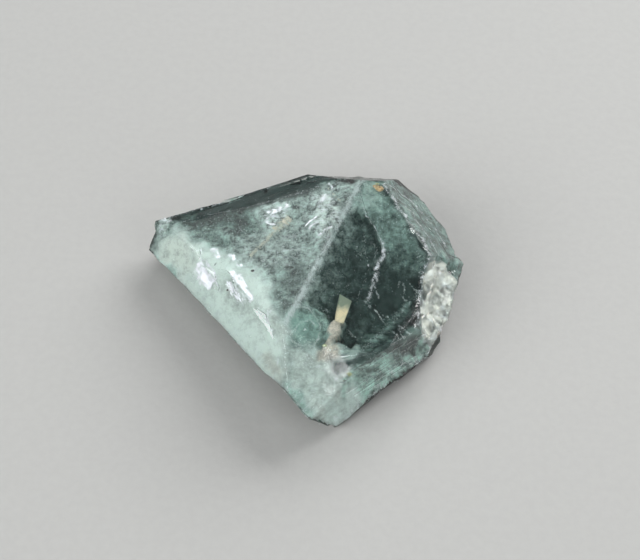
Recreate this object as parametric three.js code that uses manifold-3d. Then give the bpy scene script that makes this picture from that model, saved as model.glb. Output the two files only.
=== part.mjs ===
// A broken phosphophyllite crystal, lying on a cleavage face.
// Millimetres, +Z up. The origin is the middle of the footprint, on the surface that it rests on.
// The crystal is cut from a block by its faces, as a crystallographer would list them: the
// direction that each looks in, its tilt and its distance from a common centre. Grown and
// cleaved faces are flat. Fracture faces are shell-like, with ribs round the point of the blow.
import * as THREE from "three";
import { mergeVertices } from "three/addons/utils/BufferGeometryUtils.js";
import { ImprovedNoise } from "three/addons/math/ImprovedNoise.js";
import Module from "manifold-3d";

const wasm = await Module();
wasm.setup();

// ---- driving dimensions -------------------------------------------------------------------

const BLOCK = 30; // side of the block that the faces are cut from
const CELL = 0.42; // spacing of the points on a fracture face, where it gives none
const SPARE = 0.7; // how far a fracture cut runs past the edge of its face
const CRYSTAL_COLOUR = 0xa9cfc4; // pale sea green

// Each face: the way it looks, in degrees round from +X, its tilt from level, and its distance
// from the origin in mm. Past 90 degrees of tilt a face leans out over its own foot.
// A fracture has hollow, the depth of its shell, rib and pitch, the height and spacing of its
// ribs, grain and grit, the height and width of its roughness, and blow, where it was struck,
// from the middle of the face. A fine one also has its own cell.
const FACES = {
  left_top: { looks: 176, tilt: 14, distance: 4.63 },
  right_top: { looks: -50, tilt: 12, distance: 4.91 },
  left_slope: {
    looks: -146, tilt: 52, distance: 4.95,
    hollow: 0.05, rib: 0.02, pitch: 1.3, grain: 0.05, grit: 1.6, blow: [-6, 3],
  },
  front_slope: {
    looks: -103, tilt: 32, distance: 5.74,
    hollow: 0.12, rib: 0.03, pitch: 1.1, grain: 0.12, grit: 1.4, blow: [0.5, -3],
  },
  front_right: {
    looks: -54, tilt: 78, distance: 6.43,
    hollow: 0.06, rib: 0.02, pitch: 1.1, grain: 0.05, grit: 0.9, blow: [-7, -12],
  },
  back_left: {
    looks: 126.6, tilt: 27.6, distance: 5.93,
    hollow: 0.03, rib: 0.02, pitch: 1.2, grain: 0.04, grit: 0.9, blow: [-6, 0],
  },
  back_top: {
    looks: 85, tilt: 51, distance: 7.4,
    hollow: 0.1, rib: 0.05, pitch: 0.9, grain: 0.1, grit: 0.8, blow: [3, 4],
  },
  right_bevel: {
    looks: 20, tilt: 48, distance: 7.6, cell: 0.32,
    hollow: 0.08, rib: 0.07, pitch: 0.8, grain: 0.12, grit: 0.7, blow: [2, 6],
  },
  right_scar: {
    looks: -16, tilt: 58, distance: 7.4, cell: 0.24,
    hollow: 0.22, rib: 0.06, pitch: 0.6, grain: 0.36, grit: 0.62, blow: [0, 3],
  },
  left_end: {
    looks: 178, tilt: 102, distance: 7.95,
    hollow: 0.05, rib: 0.03, pitch: 0.5, grain: 0.1, grit: 0.6, blow: [0, 3],
  },
  left_undercut: {
    looks: -138, tilt: 122, distance: 2.74,
    hollow: 0.12, rib: 0.06, pitch: 1.0, grain: 0.1, grit: 1.2, blow: [1, 6],
  },
  front_tip: {
    looks: -89, tilt: 112, distance: 6.2,
    hollow: 0.1, rib: 0.04, pitch: 0.5, grain: 0.14, grit: 0.5, blow: [0, 3],
  },
  front_undercut: {
    looks: -50, tilt: 110, distance: 5.75,
    hollow: 0.1, rib: 0.05, pitch: 0.6, grain: 0.12, grit: 0.7, blow: [-3, 3],
  },
  right_undercut: {
    looks: -15, tilt: 102, distance: 7.05,
    hollow: 0.2, rib: 0.05, pitch: 0.6, grain: 0.18, grit: 0.6, blow: [2, 4],
  },
  right_end: {
    looks: 17, tilt: 97, distance: 8.35,
    hollow: 0.12, rib: 0.05, pitch: 0.5, grain: 0.16, grit: 0.5, blow: [0, 4],
  },
  back_right: {
    looks: 45, tilt: 95, distance: 8.5,
    hollow: 0.2, rib: 0.06, pitch: 0.6, grain: 0.18, grit: 0.6, blow: [-1, 5],
  },
  back: {
    looks: 83, tilt: 97, distance: 6.45,
    hollow: 0.3, rib: 0.07, pitch: 0.8, grain: 0.14, grit: 0.9, blow: [3, 5],
  },
  back_end: {
    looks: 101.3, tilt: 100, distance: 5.36,
    hollow: 0.2, rib: 0.05, pitch: 1.2, grain: 0.1, grit: 1.1, blow: [-4, 5],
  },
  rest: { looks: 0, tilt: 180, distance: 0 },
};

// Rows of small chips bitten out of an edge between two faces: how many, and the least and
// greatest bite in mm.
const CHIPPED_EDGES = [
  { between: ["right_bevel", "back_right"], chips: 7, bite: [0.15, 0.4] },
  { between: ["right_bevel", "right_end"], chips: 5, bite: [0.15, 0.4] },
  { between: ["right_top", "right_bevel"], chips: 7, bite: [0.04, 0.13] },
  { between: ["right_scar", "right_undercut"], chips: 6, bite: [0.12, 0.3] },
  { between: ["right_top", "right_scar"], chips: 5, bite: [0.06, 0.18] },
  { between: ["front_right", "front_undercut"], chips: 8, bite: [0.05, 0.14] },
  { between: ["front_right", "front_tip"], chips: 2, bite: [0.1, 0.22] },
  { between: ["left_undercut", "front_tip"], chips: 2, bite: [0.1, 0.25] },
  { between: ["left_slope", "left_undercut"], chips: 9, bite: [0.04, 0.1] },
  { between: ["left_slope", "left_end"], chips: 3, bite: [0.12, 0.25] },
  { between: ["back_left", "back_end"], chips: 6, bite: [0.06, 0.16] },
  { between: ["back_top", "back"], chips: 6, bite: [0.1, 0.25] },
  { between: ["back_top", "right_bevel"], chips: 3, bite: [0.1, 0.2] },
  { between: ["back_end", "rest"], chips: 6, bite: [0.1, 0.25] },
  { between: ["right_undercut", "rest"], chips: 3, bite: [0.1, 0.25] },
];
const CHIP_RADIUS = [0.45, 1.0];
const CHIP_SQUASH = [0.5, 0.9]; // how flat a chip is across its length

// Cleavage steps: a piece has split off a face inside an outline, given in the face's own
// frame, X level along it and Y up its slope. Its floor lies depth below the face at the first
// point of the outline, and falls away by dip mm in each mm along X and Y.
const STEPS = [
  // The long broken step down the right top face: its crest is to the left.
  {
    face: "right_top", depth: 0.1, dip: [-0.025, 0.03],
    outline: [
      [4.3, 1.2], [4.05, 0.1], [3.75, -0.75], [3.3, -1.35], [2.8, -1.35], [2.15, -1.95],
      [1.15, -2.45], [0.95, -3.5], [2, -6], [7, -6], [7, 3.2], [4.9, 2.6],
    ],
  },
  // The outer terrace of the right rim.
  {
    face: "right_bevel", depth: 0.28, dip: [0, -0.02],
    outline: [
      [2.75, -1.2], [2.45, -2], [1.3, -2.35], [0.3, -3], [-0.6, -3.2], [-0.8, -5.4],
      [5, -5.4], [5, -0.8], [3.6, -0.8],
    ],
  },
  // The dark back strip, below a flake that still stands at its left.
  {
    face: "back_left", depth: 0.2, dip: [0.02, 0],
    outline: [[-0.3, -4], [-0.6, -4.1], [-0.3, -5.2], [-5.4, -3.2], [-5.2, -1.6], [-2.1, -3.1]],
  },
  {
    face: "back_left", depth: 0.16, dip: [-0.02, 0.25],
    outline: [[1.2, -4.4], [0, -3.9], [-0.4, -3.8], [1.1, -4.9], [3.6, -6.3], [3.5, -5.2]],
  },
  {
    face: "back_left", depth: 0.12, dip: [0, 0.16],
    outline: [[-1.6, -2.4], [-3, -1.7], [-5.5, -0.8], [-5.5, -1.3], [-2, -2.8], [-0.3, -3.1]],
  },
  // Treads on the left slope, each a splinter lifted off along the edge.
  {
    face: "left_slope", depth: 0.34, dip: [0.05, 0.5],
    outline: [[-3, 0.5], [-3.5, 0.35], [-4, -0.1], [-3.2, -0.5], [-1.9, -0.4], [-2.2, 0.2]],
  },
  {
    face: "left_slope", depth: 0.3, dip: [0.03, 0.5],
    outline: [[-2, 1.2], [-2.5, 1.1], [-2.9, 0.8], [-2, 0.5], [-0.8, 0.5], [-1.2, 0.9]],
  },
  {
    face: "left_slope", depth: 0.3, dip: [-0.04, 0.45],
    outline: [[-1.4, 2], [-2, 1.7], [-2.3, 1.4], [-1.2, 1.1], [0.2, 1.1], [-0.3, 1.6]],
  },
  {
    face: "left_slope", depth: 0.26, dip: [0.04, 0.45],
    outline: [[-4.8, 0.7], [-5.3, 0.5], [-5.5, 0.2], [-4.8, 0], [-3.9, 0.1], [-4.2, 0.5]],
  },
  {
    face: "left_slope", depth: 0.24, dip: [0.02, 0.4],
    outline: [[1, 1.5], [0.4, 1.3], [0.1, 1], [1.2, 0.7], [2.6, 0.6], [2.1, 1.1]],
  },
  // The left end behind its lip, and the lip's own slant.
  {
    face: "left_end", depth: 0.66, dip: [0.04, 0],
    outline: [[-3.4, 1.2], [-3.3, 2.3], [-3.5, 5], [-6.5, 5], [-6.5, 1.2]],
  },
  {
    face: "left_end", depth: 0.66, dip: [-1.1, 0],
    outline: [[-3.4, 1.2], [-2.3, 1.2], [-2.3, 5], [-3.55, 5], [-3.35, 2.3]],
  },
  // The back end's shallow break, right of the flake.
  {
    face: "back_end", depth: 0.1, dip: [-0.01, 0.02],
    outline: [[1.7, 0.2], [1.3, 1.6], [1.75, 2.6], [1.6, 5], [-6, 5], [-6, 0.2]],
  },
  // Shallow steps on the face that it rests on.
  {
    face: "rest", depth: 0.12, dip: [0.02, 0],
    outline: [[-3.2, 5.4], [-1.4, 4.2], [1.2, 4.6], [2.6, 3.9], [5, 5], [5, 9], [-4, 9]],
  },
  {
    face: "rest", depth: 0.08, dip: [0, 0.03],
    outline: [[1.8, -3.2], [3.2, -4.4], [3.4, -9], [-1, -9], [0.4, -4.6]],
  },
];

// Shell-shaped chips: the middle of each in the face's own frame, its depth and the radius of
// the ball that it fits.
const SHELLS = [
  { face: "left_undercut", centre: [3.6, 4.4], depth: 0.3, radius: 5 },
  { face: "left_undercut", centre: [-3, 2.2], depth: 0.25, radius: 3 },
  { face: "back_end", centre: [2.5, 1.6], depth: 0.35, radius: 3 },
  { face: "back", centre: [-2, 1.8], depth: 0.35, radius: 2.6 },
  { face: "right_end", centre: [0.8, 2.3], depth: 0.2, radius: 1.6 },
  { face: "front_undercut", centre: [0.4, 2.4], depth: 0.25, radius: 2.4 },
  { face: "right_undercut", centre: [-0.8, 2.9], depth: 0.7, radius: 2.2 },
];

// Growth lines on a steep face: low parallel steps that run level along it.
const GROWTH_LINES = {
  face: "front_right", from: -0.5, to: 2.3, lines: 11, long: [2, 6], wide: 0.2, depth: [0.12, 0.2],
};

// Patches of shallow etch pits: the middle of each and its half size in the face's own frame.
const ETCH_PITS = [
  { face: "left_top", centre: [-3.7, -0.5], half: [0.5, 0.6], pits: 12, depth: [0.02, 0.05] },
  { face: "left_top", centre: [-3.1, 2.2], half: [1.0, 0.5], pits: 16, depth: [0.02, 0.06] },
  { face: "left_top", centre: [-1.2, -3.4], half: [1.2, 0.8], pits: 10, depth: [0.02, 0.05] },
  { face: "front_slope", centre: [2.2, -3.2], half: [0.7, 1.2], pits: 10, depth: [0.06, 0.14] },
];
const PIT_RADIUS = [0.1, 0.24];
const PIT_LEAN = [-0.12, 0.12]; // how far a pit leans to either side, in radians

// ---- solids -------------------------------------------------------------------------------

// A closed three.js geometry as a solid.
function solid(geometry) {
  const bare = new THREE.BufferGeometry();
  bare.setAttribute("position", geometry.getAttribute("position"));
  bare.setIndex(geometry.index);
  const merged = mergeVertices(bare, 1e-4);
  return new wasm.Manifold(
    new wasm.Mesh({
      numProp: 3,
      vertProperties: new Float32Array(merged.attributes.position.array),
      triVerts: new Uint32Array(merged.index.array),
    }),
  );
}

function geometryOf(body) {
  const mesh = body.getMesh();
  const geometry = new THREE.BufferGeometry();
  geometry.setAttribute("position", new THREE.BufferAttribute(mesh.vertProperties, 3));
  geometry.setIndex(new THREE.BufferAttribute(mesh.triVerts, 1));
  return geometry;
}

// A repeatable stream of numbers from 0 to 1.
function numbers(seed) {
  let state = seed;
  return () => {
    state = (Math.imul(state, 1664525) + 1013904223) >>> 0;
    return state / 2 ** 32;
  };
}

const mix = (range, share) => range[0] + (range[1] - range[0]) * share;

// ---- faces --------------------------------------------------------------------------------

function normalOf({ looks, tilt }) {
  const round = THREE.MathUtils.degToRad(looks);
  const lean = THREE.MathUtils.degToRad(tilt);
  return new THREE.Vector3(
    Math.sin(lean) * Math.cos(round),
    Math.sin(lean) * Math.sin(round),
    Math.cos(lean),
  );
}

// A face's own frame: X level along it, Y up its slope, Z straight out of it.
function frameOf(face) {
  const out = normalOf(face);
  const round = THREE.MathUtils.degToRad(face.looks);
  const level = new THREE.Vector3(-Math.sin(round), Math.cos(round), 0);
  const up = new THREE.Vector3().crossVectors(out, level);
  const frame = new THREE.Matrix4().makeBasis(level, up, out);
  return frame.setPosition(out.multiplyScalar(face.distance));
}

// All that lies outside a face, taken as flat.
function outside(face) {
  const box = new THREE.BoxGeometry(2 * BLOCK, 2 * BLOCK, BLOCK);
  return solid(box.translate(0, 0, BLOCK / 2).applyMatrix4(frameOf(face)));
}

// The part of a face that a body has, in the face's own X and Y.
function extentOf(body, face) {
  const inverse = frameOf(face).invert();
  const points = body.getMesh().vertProperties;
  const extent = new THREE.Box2();
  const point = new THREE.Vector3();
  for (let i = 0; i < points.length; i += 3) {
    point.fromArray(points, i).applyMatrix4(inverse);
    if (Math.abs(point.z) < 1e-3) extent.expandByPoint(new THREE.Vector2(point.x, point.y));
  }
  return extent;
}

const noise = new ImprovedNoise();

function roughness(x, y, seed) {
  return (
    noise.noise(x, y, seed) +
    0.5 * noise.noise(2.1 * x, 2.1 * y, seed + 7.3) +
    0.25 * noise.noise(4.3 * x, 4.3 * y, seed + 3.1)
  );
}

// How deep a fracture lies below its face at a point.
function depthAt(face, x, y, extent, seed) {
  const middle = extent.getCenter(new THREE.Vector2());
  const half = extent.getSize(new THREE.Vector2()).multiplyScalar(0.5);
  const off = Math.hypot((x - middle.x) / half.x, (y - middle.y) / half.y);
  const shell = face.hollow * Math.max(0, 1 - off * off);
  const reach = Math.hypot(x - middle.x - face.blow[0], y - middle.y - face.blow[1]);
  const wander = 0.35 * noise.noise(x * 0.7, y * 0.7, seed + 11);
  const phase = reach / face.pitch + wander;
  const rib = face.rib * (1 - (phase - Math.floor(phase)));
  const grain = face.grain * (0.5 + 0.5 * roughness(x / face.grit, y / face.grit, seed));
  return shell + rib + Math.max(0, grain);
}

// What a fracture takes away.
function fractured(body, face, seed) {
  const extent = extentOf(body, face);
  const middle = extent.getCenter(new THREE.Vector2());
  const size = extent.getSize(new THREE.Vector2()).addScalar(2 * SPARE);
  const cell = face.cell ?? CELL;
  const columns = Math.ceil(size.x / cell);
  const rows = Math.ceil(size.y / cell);
  const thick = 3;
  const block = new THREE.BoxGeometry(size.x, size.y, thick, columns, rows, 1);
  block.translate(middle.x, middle.y, thick / 2);
  const points = block.attributes.position;
  for (let i = 0; i < points.count; i++) {
    if (points.getZ(i) > thick / 2) continue;
    points.setZ(i, -depthAt(face, points.getX(i), points.getY(i), extent, seed));
  }
  return solid(block.applyMatrix4(frameOf(face)));
}

// ---- chips --------------------------------------------------------------------------------

// The two ends of the edge between two faces of a body with flat faces.
function edgeEnds(body, faces) {
  const inverses = faces.map((face) => frameOf(face).invert());
  const points = body.getMesh().vertProperties;
  const shared = [];
  for (let i = 0; i < points.length; i += 3) {
    const point = new THREE.Vector3().fromArray(points, i);
    const on = inverses.every((m) => Math.abs(point.clone().applyMatrix4(m).z) < 1e-3);
    if (on) shared.push(point);
  }
  if (shared.length < 2) throw new Error("these faces share no edge");
  const far = (a, b) => b.distanceTo(shared[0]) - a.distanceTo(shared[0]);
  const start = shared.slice().sort(far)[0];
  const end = shared.slice().sort((a, b) => b.distanceTo(start) - a.distanceTo(start))[0];
  return [start, end];
}

function chipsAlong(body, { between, chips, bite }, seed) {
  const next = numbers(seed);
  const faces = between.map((name) => FACES[name]);
  const [start, end] = edgeEnds(body, faces);
  const out = normalOf(faces[0]).add(normalOf(faces[1])).normalize();
  const cuts = [];
  for (let i = 0; i < chips; i++) {
    const radius = mix(CHIP_RADIUS, next());
    const depth = mix(bite, next());
    const chip = new THREE.IcosahedronGeometry(radius, 1);
    chip.scale(1, mix(CHIP_SQUASH, next()), mix(CHIP_SQUASH, next()));
    chip.rotateX(next() * Math.PI).rotateY(next() * Math.PI).rotateZ(next() * Math.PI);
    chip.computeBoundingSphere();
    const reach = supportOf(chip, out);
    const at = start.clone().lerp(end, (i + 0.15 + 0.7 * next()) / chips);
    at.addScaledVector(out, reach - depth);
    cuts.push(solid(chip.translate(at.x, at.y, at.z)));
  }
  return cuts;
}

// How far a shape reaches from its own centre against a direction.
function supportOf(geometry, direction) {
  const points = geometry.attributes.position;
  const point = new THREE.Vector3();
  let reach = 0;
  for (let i = 0; i < points.count; i++) {
    reach = Math.max(reach, -point.fromBufferAttribute(points, i).dot(direction));
  }
  return reach;
}

// ---- shells, steps and pits ---------------------------------------------------------------

function shellCut({ face, centre, depth, radius }) {
  const ball = new THREE.IcosahedronGeometry(radius, 9);
  ball.translate(centre[0], centre[1], radius - depth);
  return solid(ball.applyMatrix4(frameOf(FACES[face])));
}

// What a cleavage step takes away.
function stepCut({ face, depth, dip, outline }) {
  const [first] = outline;
  const shape = new THREE.Shape(outline.map(([x, y]) => new THREE.Vector2(x, y)));
  const height = 1;
  const cut = new THREE.ExtrudeGeometry(shape, { depth: height, bevelEnabled: false });
  const points = cut.attributes.position;
  for (let i = 0; i < points.count; i++) {
    if (points.getZ(i) > height / 2) continue;
    const fall = dip[0] * (points.getX(i) - first[0]) + dip[1] * (points.getY(i) - first[1]);
    points.setZ(i, Math.min(-depth - fall, height / 2));
  }
  return solid(cut.applyMatrix4(frameOf(FACES[face])));
}

function growthLineCuts({ face, from, to, lines, long, wide, depth }, body, seed) {
  const next = numbers(seed);
  const extent = extentOf(body, FACES[face]);
  const cuts = [];
  for (let i = 0; i < lines; i++) {
    const y = mix([from, to], (i + 0.4 * next()) / lines);
    const start = mix([extent.min.x, extent.max.x - long[0]], next());
    const end = Math.min(start + mix(long, next()), extent.max.x);
    const deep = mix(depth, next());
    const outline = [[start, y], [start, y - wide], [end, y - wide * 0.7], [end, y]];
    cuts.push(stepCut({ face, depth: deep, dip: [0, deep / wide], outline }));
  }
  return cuts;
}

function etchPitCuts({ face, centre, half, pits, depth }, seed) {
  const next = numbers(seed);
  const frame = frameOf(FACES[face]);
  const cuts = [];
  for (let i = 0; i < pits; i++) {
    const radius = mix(PIT_RADIUS, next());
    const deep = mix(depth, next());
    const round = next() * 2 * Math.PI;
    const out = Math.sqrt(next());
    const x = centre[0] + half[0] * out * Math.cos(round);
    const y = centre[1] + half[1] * out * Math.sin(round);
    const pit = new THREE.ConeGeometry(2 * radius, 2 * deep, 5).rotateX(-Math.PI / 2);
    pit.rotateX(mix(PIT_LEAN, next())).rotateZ(next() * Math.PI);
    cuts.push(solid(pit.translate(x, y, 0).applyMatrix4(frame)));
  }
  return cuts;
}

// ---- the crystal --------------------------------------------------------------------------

function flatCrystal() {
  let body = solid(new THREE.BoxGeometry(BLOCK, BLOCK, BLOCK));
  for (const face of Object.values(FACES)) body = body.subtract(outside(face));
  return body;
}

function crystal() {
  const flat = flatCrystal();
  const cuts = [];
  Object.values(FACES).forEach((face, index) => {
    if (face.hollow) cuts.push(fractured(flat, face, 1.7 * index + 0.4));
  });
  CHIPPED_EDGES.forEach((edge, index) => cuts.push(...chipsAlong(flat, edge, 100 + index)));
  SHELLS.forEach((shell) => cuts.push(shellCut(shell)));
  STEPS.forEach((step) => cuts.push(stepCut(step)));
  cuts.push(...growthLineCuts(GROWTH_LINES, flat, 7));
  ETCH_PITS.forEach((patch, index) => cuts.push(...etchPitCuts(patch, 200 + index)));
  return cuts.reduce((body, cut) => body.subtract(cut), flat);
}

// The crystal, moved so that the middle of its footprint is at the origin.
function centred(body) {
  const { min, max } = body.boundingBox();
  const geometry = geometryOf(body);
  return geometry.translate(-(min[0] + max[0]) / 2, -(min[1] + max[1]) / 2, -min[2]);
}

const part = new THREE.Group();
const crystalMesh = new THREE.Mesh(
  centred(crystal()),
  new THREE.MeshStandardMaterial({
    color: CRYSTAL_COLOUR,
    roughness: 0.12,
    metalness: 0,
    transparent: true,
    opacity: 0.6,
  }),
);
crystalMesh.name = "phosphophyllite_crystal";
part.add(crystalMesh);

export default part;
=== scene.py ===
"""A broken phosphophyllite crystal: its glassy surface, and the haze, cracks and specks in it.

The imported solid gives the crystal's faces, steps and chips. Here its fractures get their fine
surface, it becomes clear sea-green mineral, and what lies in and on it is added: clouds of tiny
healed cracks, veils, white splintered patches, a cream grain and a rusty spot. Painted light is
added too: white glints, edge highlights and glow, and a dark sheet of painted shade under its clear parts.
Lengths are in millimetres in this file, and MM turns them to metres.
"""

import math
import random

import bpy
import numpy as np
from mathutils import Euler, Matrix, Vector, noise
from mathutils.bvhtree import BVHTree


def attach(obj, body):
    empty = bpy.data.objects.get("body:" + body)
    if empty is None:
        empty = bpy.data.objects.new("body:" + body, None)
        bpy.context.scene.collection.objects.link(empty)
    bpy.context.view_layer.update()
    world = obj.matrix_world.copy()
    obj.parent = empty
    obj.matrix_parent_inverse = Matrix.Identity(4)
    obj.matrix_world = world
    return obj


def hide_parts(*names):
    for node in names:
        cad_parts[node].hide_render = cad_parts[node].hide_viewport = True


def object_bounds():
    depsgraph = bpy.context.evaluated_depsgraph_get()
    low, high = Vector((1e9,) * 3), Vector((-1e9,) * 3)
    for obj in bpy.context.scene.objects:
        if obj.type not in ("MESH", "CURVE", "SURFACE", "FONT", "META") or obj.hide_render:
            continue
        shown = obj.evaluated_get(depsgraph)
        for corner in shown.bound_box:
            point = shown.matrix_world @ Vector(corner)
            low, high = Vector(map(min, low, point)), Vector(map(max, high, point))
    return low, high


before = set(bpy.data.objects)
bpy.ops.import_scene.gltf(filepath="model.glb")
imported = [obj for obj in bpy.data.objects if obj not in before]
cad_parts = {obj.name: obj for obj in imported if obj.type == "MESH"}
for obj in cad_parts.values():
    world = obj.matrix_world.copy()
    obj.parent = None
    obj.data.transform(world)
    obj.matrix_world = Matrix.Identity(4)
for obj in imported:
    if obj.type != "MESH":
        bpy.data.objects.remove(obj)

bl_info = {
    "name": "Phosphophyllite crystal",
    "version": (1, 0, 0),
    "blender": (4, 5, 0),
    "location": "3D View > Sidebar > Crystal",
    "description": "Finishes the crystal's surface, fills it with haze and cracks, and sets its stage",
    "category": "Object",
}

MM = 0.001
NODE = "phosphophyllite_crystal"
BODY = "root"
CAD_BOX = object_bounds()
UP = Vector((0, 0, 1))

# ---- what lies in the crystal -------------------------------------------------------------
# Places are X and Y in mm, seen from above. Each thing lies under the top surface there, at a
# depth in mm that it gives.

# The faces and patches of the top, as outlines.
LEFT_TOP = [
    (-7.1, 4.45), (-2.2, 4.65), (1.8, 5.65), (2.8, 5.15), (1.5, 2.15), (-0.7, -2.55), (-1.3, -2.95),
    (-2.1, -0.35), (-5.1, 2.15),
]
BACK_SHADE = [(-6.8, 4.95), (-2.9, 4.55), (-2.5, 2.85), (-3.1, 2.45), (-3.8, 3.65), (-6.2, 3.85)]
BACK_GREEN = [(-5.95, 3.75), (-4.7, 3.6), (-3.85, 2.8), (-4.1, 2.0), (-5.05, 1.95), (-5.7, 2.8)]
BACK_CORNER = [(-6.6, 4.95), (-4.0, 4.85), (-4.1, 4.15), (-5.6, 3.95)]
RIDGE_SHADE = [(-1.0, 0.75), (0.2, 0.45), (-0.4, -1.35), (-1.0, -2.65), (-1.7, -2.05), (-1.5, -0.55)]
RIDGE_DIM = [(-0.9, 0.85), (0.0, 1.0), (0.15, -0.25), (-0.2, -1.15), (-0.85, -0.7)]
RIDGE_HOLE = [(-1.3, -1.65), (-0.8, -1.55), (-1.0, -2.55), (-1.4, -2.45)]
MIDDLE = [(-3.3, 2.95), (-1.5, 2.95), (-0.2, 1.95), (-0.7, 0.55), (-2.1, 0.55), (-3.3, 1.35)]
WHITE_BACK = [(-2.2, 4.45), (-0.8, 4.55), (-0.9, 3.15), (-1.9, 3.15)]
WHITE_RIDGE = [(0.5, 4.85), (1.5, 4.75), (2.0, 3.55), (1.5, 2.05), (0.7, 1.85), (0.3, 2.85)]
LEFT_SLOPE = [
    (-8.6, 2.6), (-7.6, 3.9), (-6.7, 3.95), (-5.15, 2.8), (-3.7, 1.8), (-2.35, 0.6), (-1.45, -0.5),
    (-1.35, -1.75), (-0.75, -3.45), (-0.7, -3.95), (-1.2, -5.9), (-2.6, -4.4), (-5.6, -0.8),
]
SLOPE_GREY = [
    (-4.4, 0.7), (-3.65, 0.2), (-2.8, -0.95), (-1.8, -1.7), (-0.7, -3.1), (-1.0, -3.4), (-2.1, -2.2),
    (-3.2, -1.2), (-4.15, -0.3),
]
SLOPE_OLIVE = [(-2.1, -3.6), (-1.6, -3.7), (-1.0, -4.6), (-1.0, -5.1), (-1.7, -4.5)]
LEFT_END = [(-7.6, 3.55), (-6.2, 3.25), (-5.5, 1.65), (-6.2, 1.45), (-7.3, 2.55)]
LEFT_LIP = [(-8.6, 3.6), (-7.7, 2.95), (-6.8, 1.95), (-6.7, 1.3), (-8.4, 2.3)]
END_CHIP = [(-7.8, 5.25), (-7.2, 5.05), (-7.1, 3.95), (-7.7, 3.95)]
TIP = [
    (-0.9, -3.65), (0.8, -3.65), (1.8, -3.85), (2.4, -4.55), (2.1, -5.65), (1.6, -6.45), (0.4, -7.05),
    (-0.8, -5.65),
]
TIP_LIP = [(-0.9, -5.15), (-0.4, -5.45), (0.6, -6.55), (0.3, -7.05), (-0.9, -5.85)]
FRONT_RIGHT = [
    (1.7, -5.5), (2.4, -4.75), (3.3, -4.25), (4.4, -3.55), (5.6, -2.75), (6.3, -1.9), (7.3, -1.4),
    (6.8, -3.0), (2.1, -6.6),
]
ARC_TOP = [
    (-0.75, -1.5), (0.35, -1.65), (0.95, -1.9), (1.3, -2.4), (1.45, -3.1), (1.05, -3.45), (0.4, -2.75),
    (-0.2, -2.5), (-0.85, -2.55),
]
ARC_HAZE = [(-0.9, -2.15), (-0.1, -1.95), (0.7, -2.45), (1.0, -3.25), (0.5, -3.85), (-0.8, -3.45)]
TAN_TOP = [(1.35, -2.35), (1.85, -2.4), (1.6, -3.1), (1.4, -3.6), (0.95, -3.8), (1.1, -3.3)]
FOOT_HAZE = [
    (1.4, -3.55), (1.75, -3.4), (2.2, -3.4), (2.6, -3.2), (2.8, -3.6), (2.5, -4.0), (2.0, -4.2),
    (1.5, -4.15),
]
TAN_HAZE = [(0.65, -3.85), (1.15, -3.6), (1.85, -3.7), (1.85, -4.2), (1.25, -4.45), (0.7, -4.35)]
GREY_FOOT = [(1.3, -4.4), (2.0, -4.2), (3.3, -3.75), (2.7, -4.4), (2.1, -4.95), (1.4, -5.05)]
PALE_FOOT = [(1.75, -3.8), (2.5, -3.6), (2.9, -3.9), (2.3, -4.25), (1.85, -4.25)]
TIP_EDGE = [(0.85, -6.25), (1.55, -5.8), (2.3, -5.2), (2.95, -5.05), (2.75, -5.6), (1.25, -6.9)]
BAND = [
    (2.4, -4.9), (3.3, -4.25), (4.4, -3.45), (5.6, -2.55), (6.3, -1.7), (6.0, -1.5), (5.2, -2.3),
    (4.0, -3.2), (3.0, -3.9), (2.5, -4.4),
]
UPPER_RIGHT = [
    (2.2, 3.3), (2.4, 4.1), (2.9, 5.9), (3.85, 5.9), (4.45, 4.35), (5.1, 3.4), (5.7, 2.25), (6.25, 1.15),
    (5.85, 0.35), (4.75, 0.4), (3.75, 0.75), (3.95, 1.4), (3.6, 2.4), (3.15, 3.3),
]
UPPER_LOW = [(4.6, 1.9), (5.4, 2.2), (6.3, 1.2), (5.9, 0.4), (4.8, 0.4), (4.0, 0.8)]
WINDOW_LEFT = [
    (1.95, 3.2), (1.65, 2.2), (1.25, 1.2), (0.65, -0.2), (0.05, -1.55), (-0.2, -2.2), (0.35, -2.15),
    (1.0, -0.95), (1.5, 0.15), (2.0, 1.5), (2.35, 2.8),
]
RIDGE_HEAD = [(2.4, 4.05), (2.9, 5.8), (3.7, 5.6), (3.7, 3.85), (2.9, 3.45)]
WINDOW_HEAD = [
    (2.15, 3.2), (2.6, 3.5), (3.1, 3.3), (3.55, 2.4), (3.9, 1.5), (3.8, 0.95), (3.55, 0.4), (2.25, 0.6),
    (1.25, 0.75),
]
WINDOW = [
    (1.25, 1.2), (2.25, 0.85), (3.65, 0.75), (4.85, 0.5), (5.95, -0.05), (5.7, -1.1), (5.1, -2.5),
    (3.95, -3.6), (2.8, -3.95), (1.75, -3.25), (0.85, -2.45), (0.2, -2.05), (0.65, -0.45),
]
# Painted shade: a darker patch in the window's right part.
WINDOW_PAINTED_SHADE = [
    (3.6, -0.5), (4.55, 0.2), (5.4, 0.1), (5.3, -0.6), (4.6, -1.6), (4.1, -2.2), (3.5, -1.9), (3.35, -1.15),
]
DARK_SPOT = [(2.9, -4.1), (3.3, -3.9), (3.6, -4.0), (3.3, -4.25), (2.95, -4.35)]
SEAM_FOOT = [(-0.4, -1.7), (0.1, -1.25), (0.45, -1.75), (0.0, -2.3)]
LOW_RIGHT = [(4.0, -3.45), (4.5, -2.95), (5.15, -2.35), (5.9, -2.0), (5.85, -2.45), (4.8, -3.15)]
SEAM_GLOW = [
    (2.2, 3.7), (2.65, 3.9), (1.9, 2.1), (1.2, 0.6), (0.55, -0.9), (-0.1, -2.2), (-0.8, -2.8), (-0.5, -1.6),
    (0.3, 0.1), (1.1, 1.8),
]
WINDOW_SMOKE = [(2.0, 3.05), (2.4, 3.25), (2.6, 2.35), (2.2, 1.75), (1.7, 1.85)]
WINDOW_PUFF = [(1.3, 0.75), (2.0, 0.65), (1.8, -0.45), (1.0, -0.65)]
CROSS_BAND = [(5.6, -0.65), (5.2, -1.35), (3.6, -3.35), (2.6, -4.05), (2.9, -3.15), (5.0, -1.05)]
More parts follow.
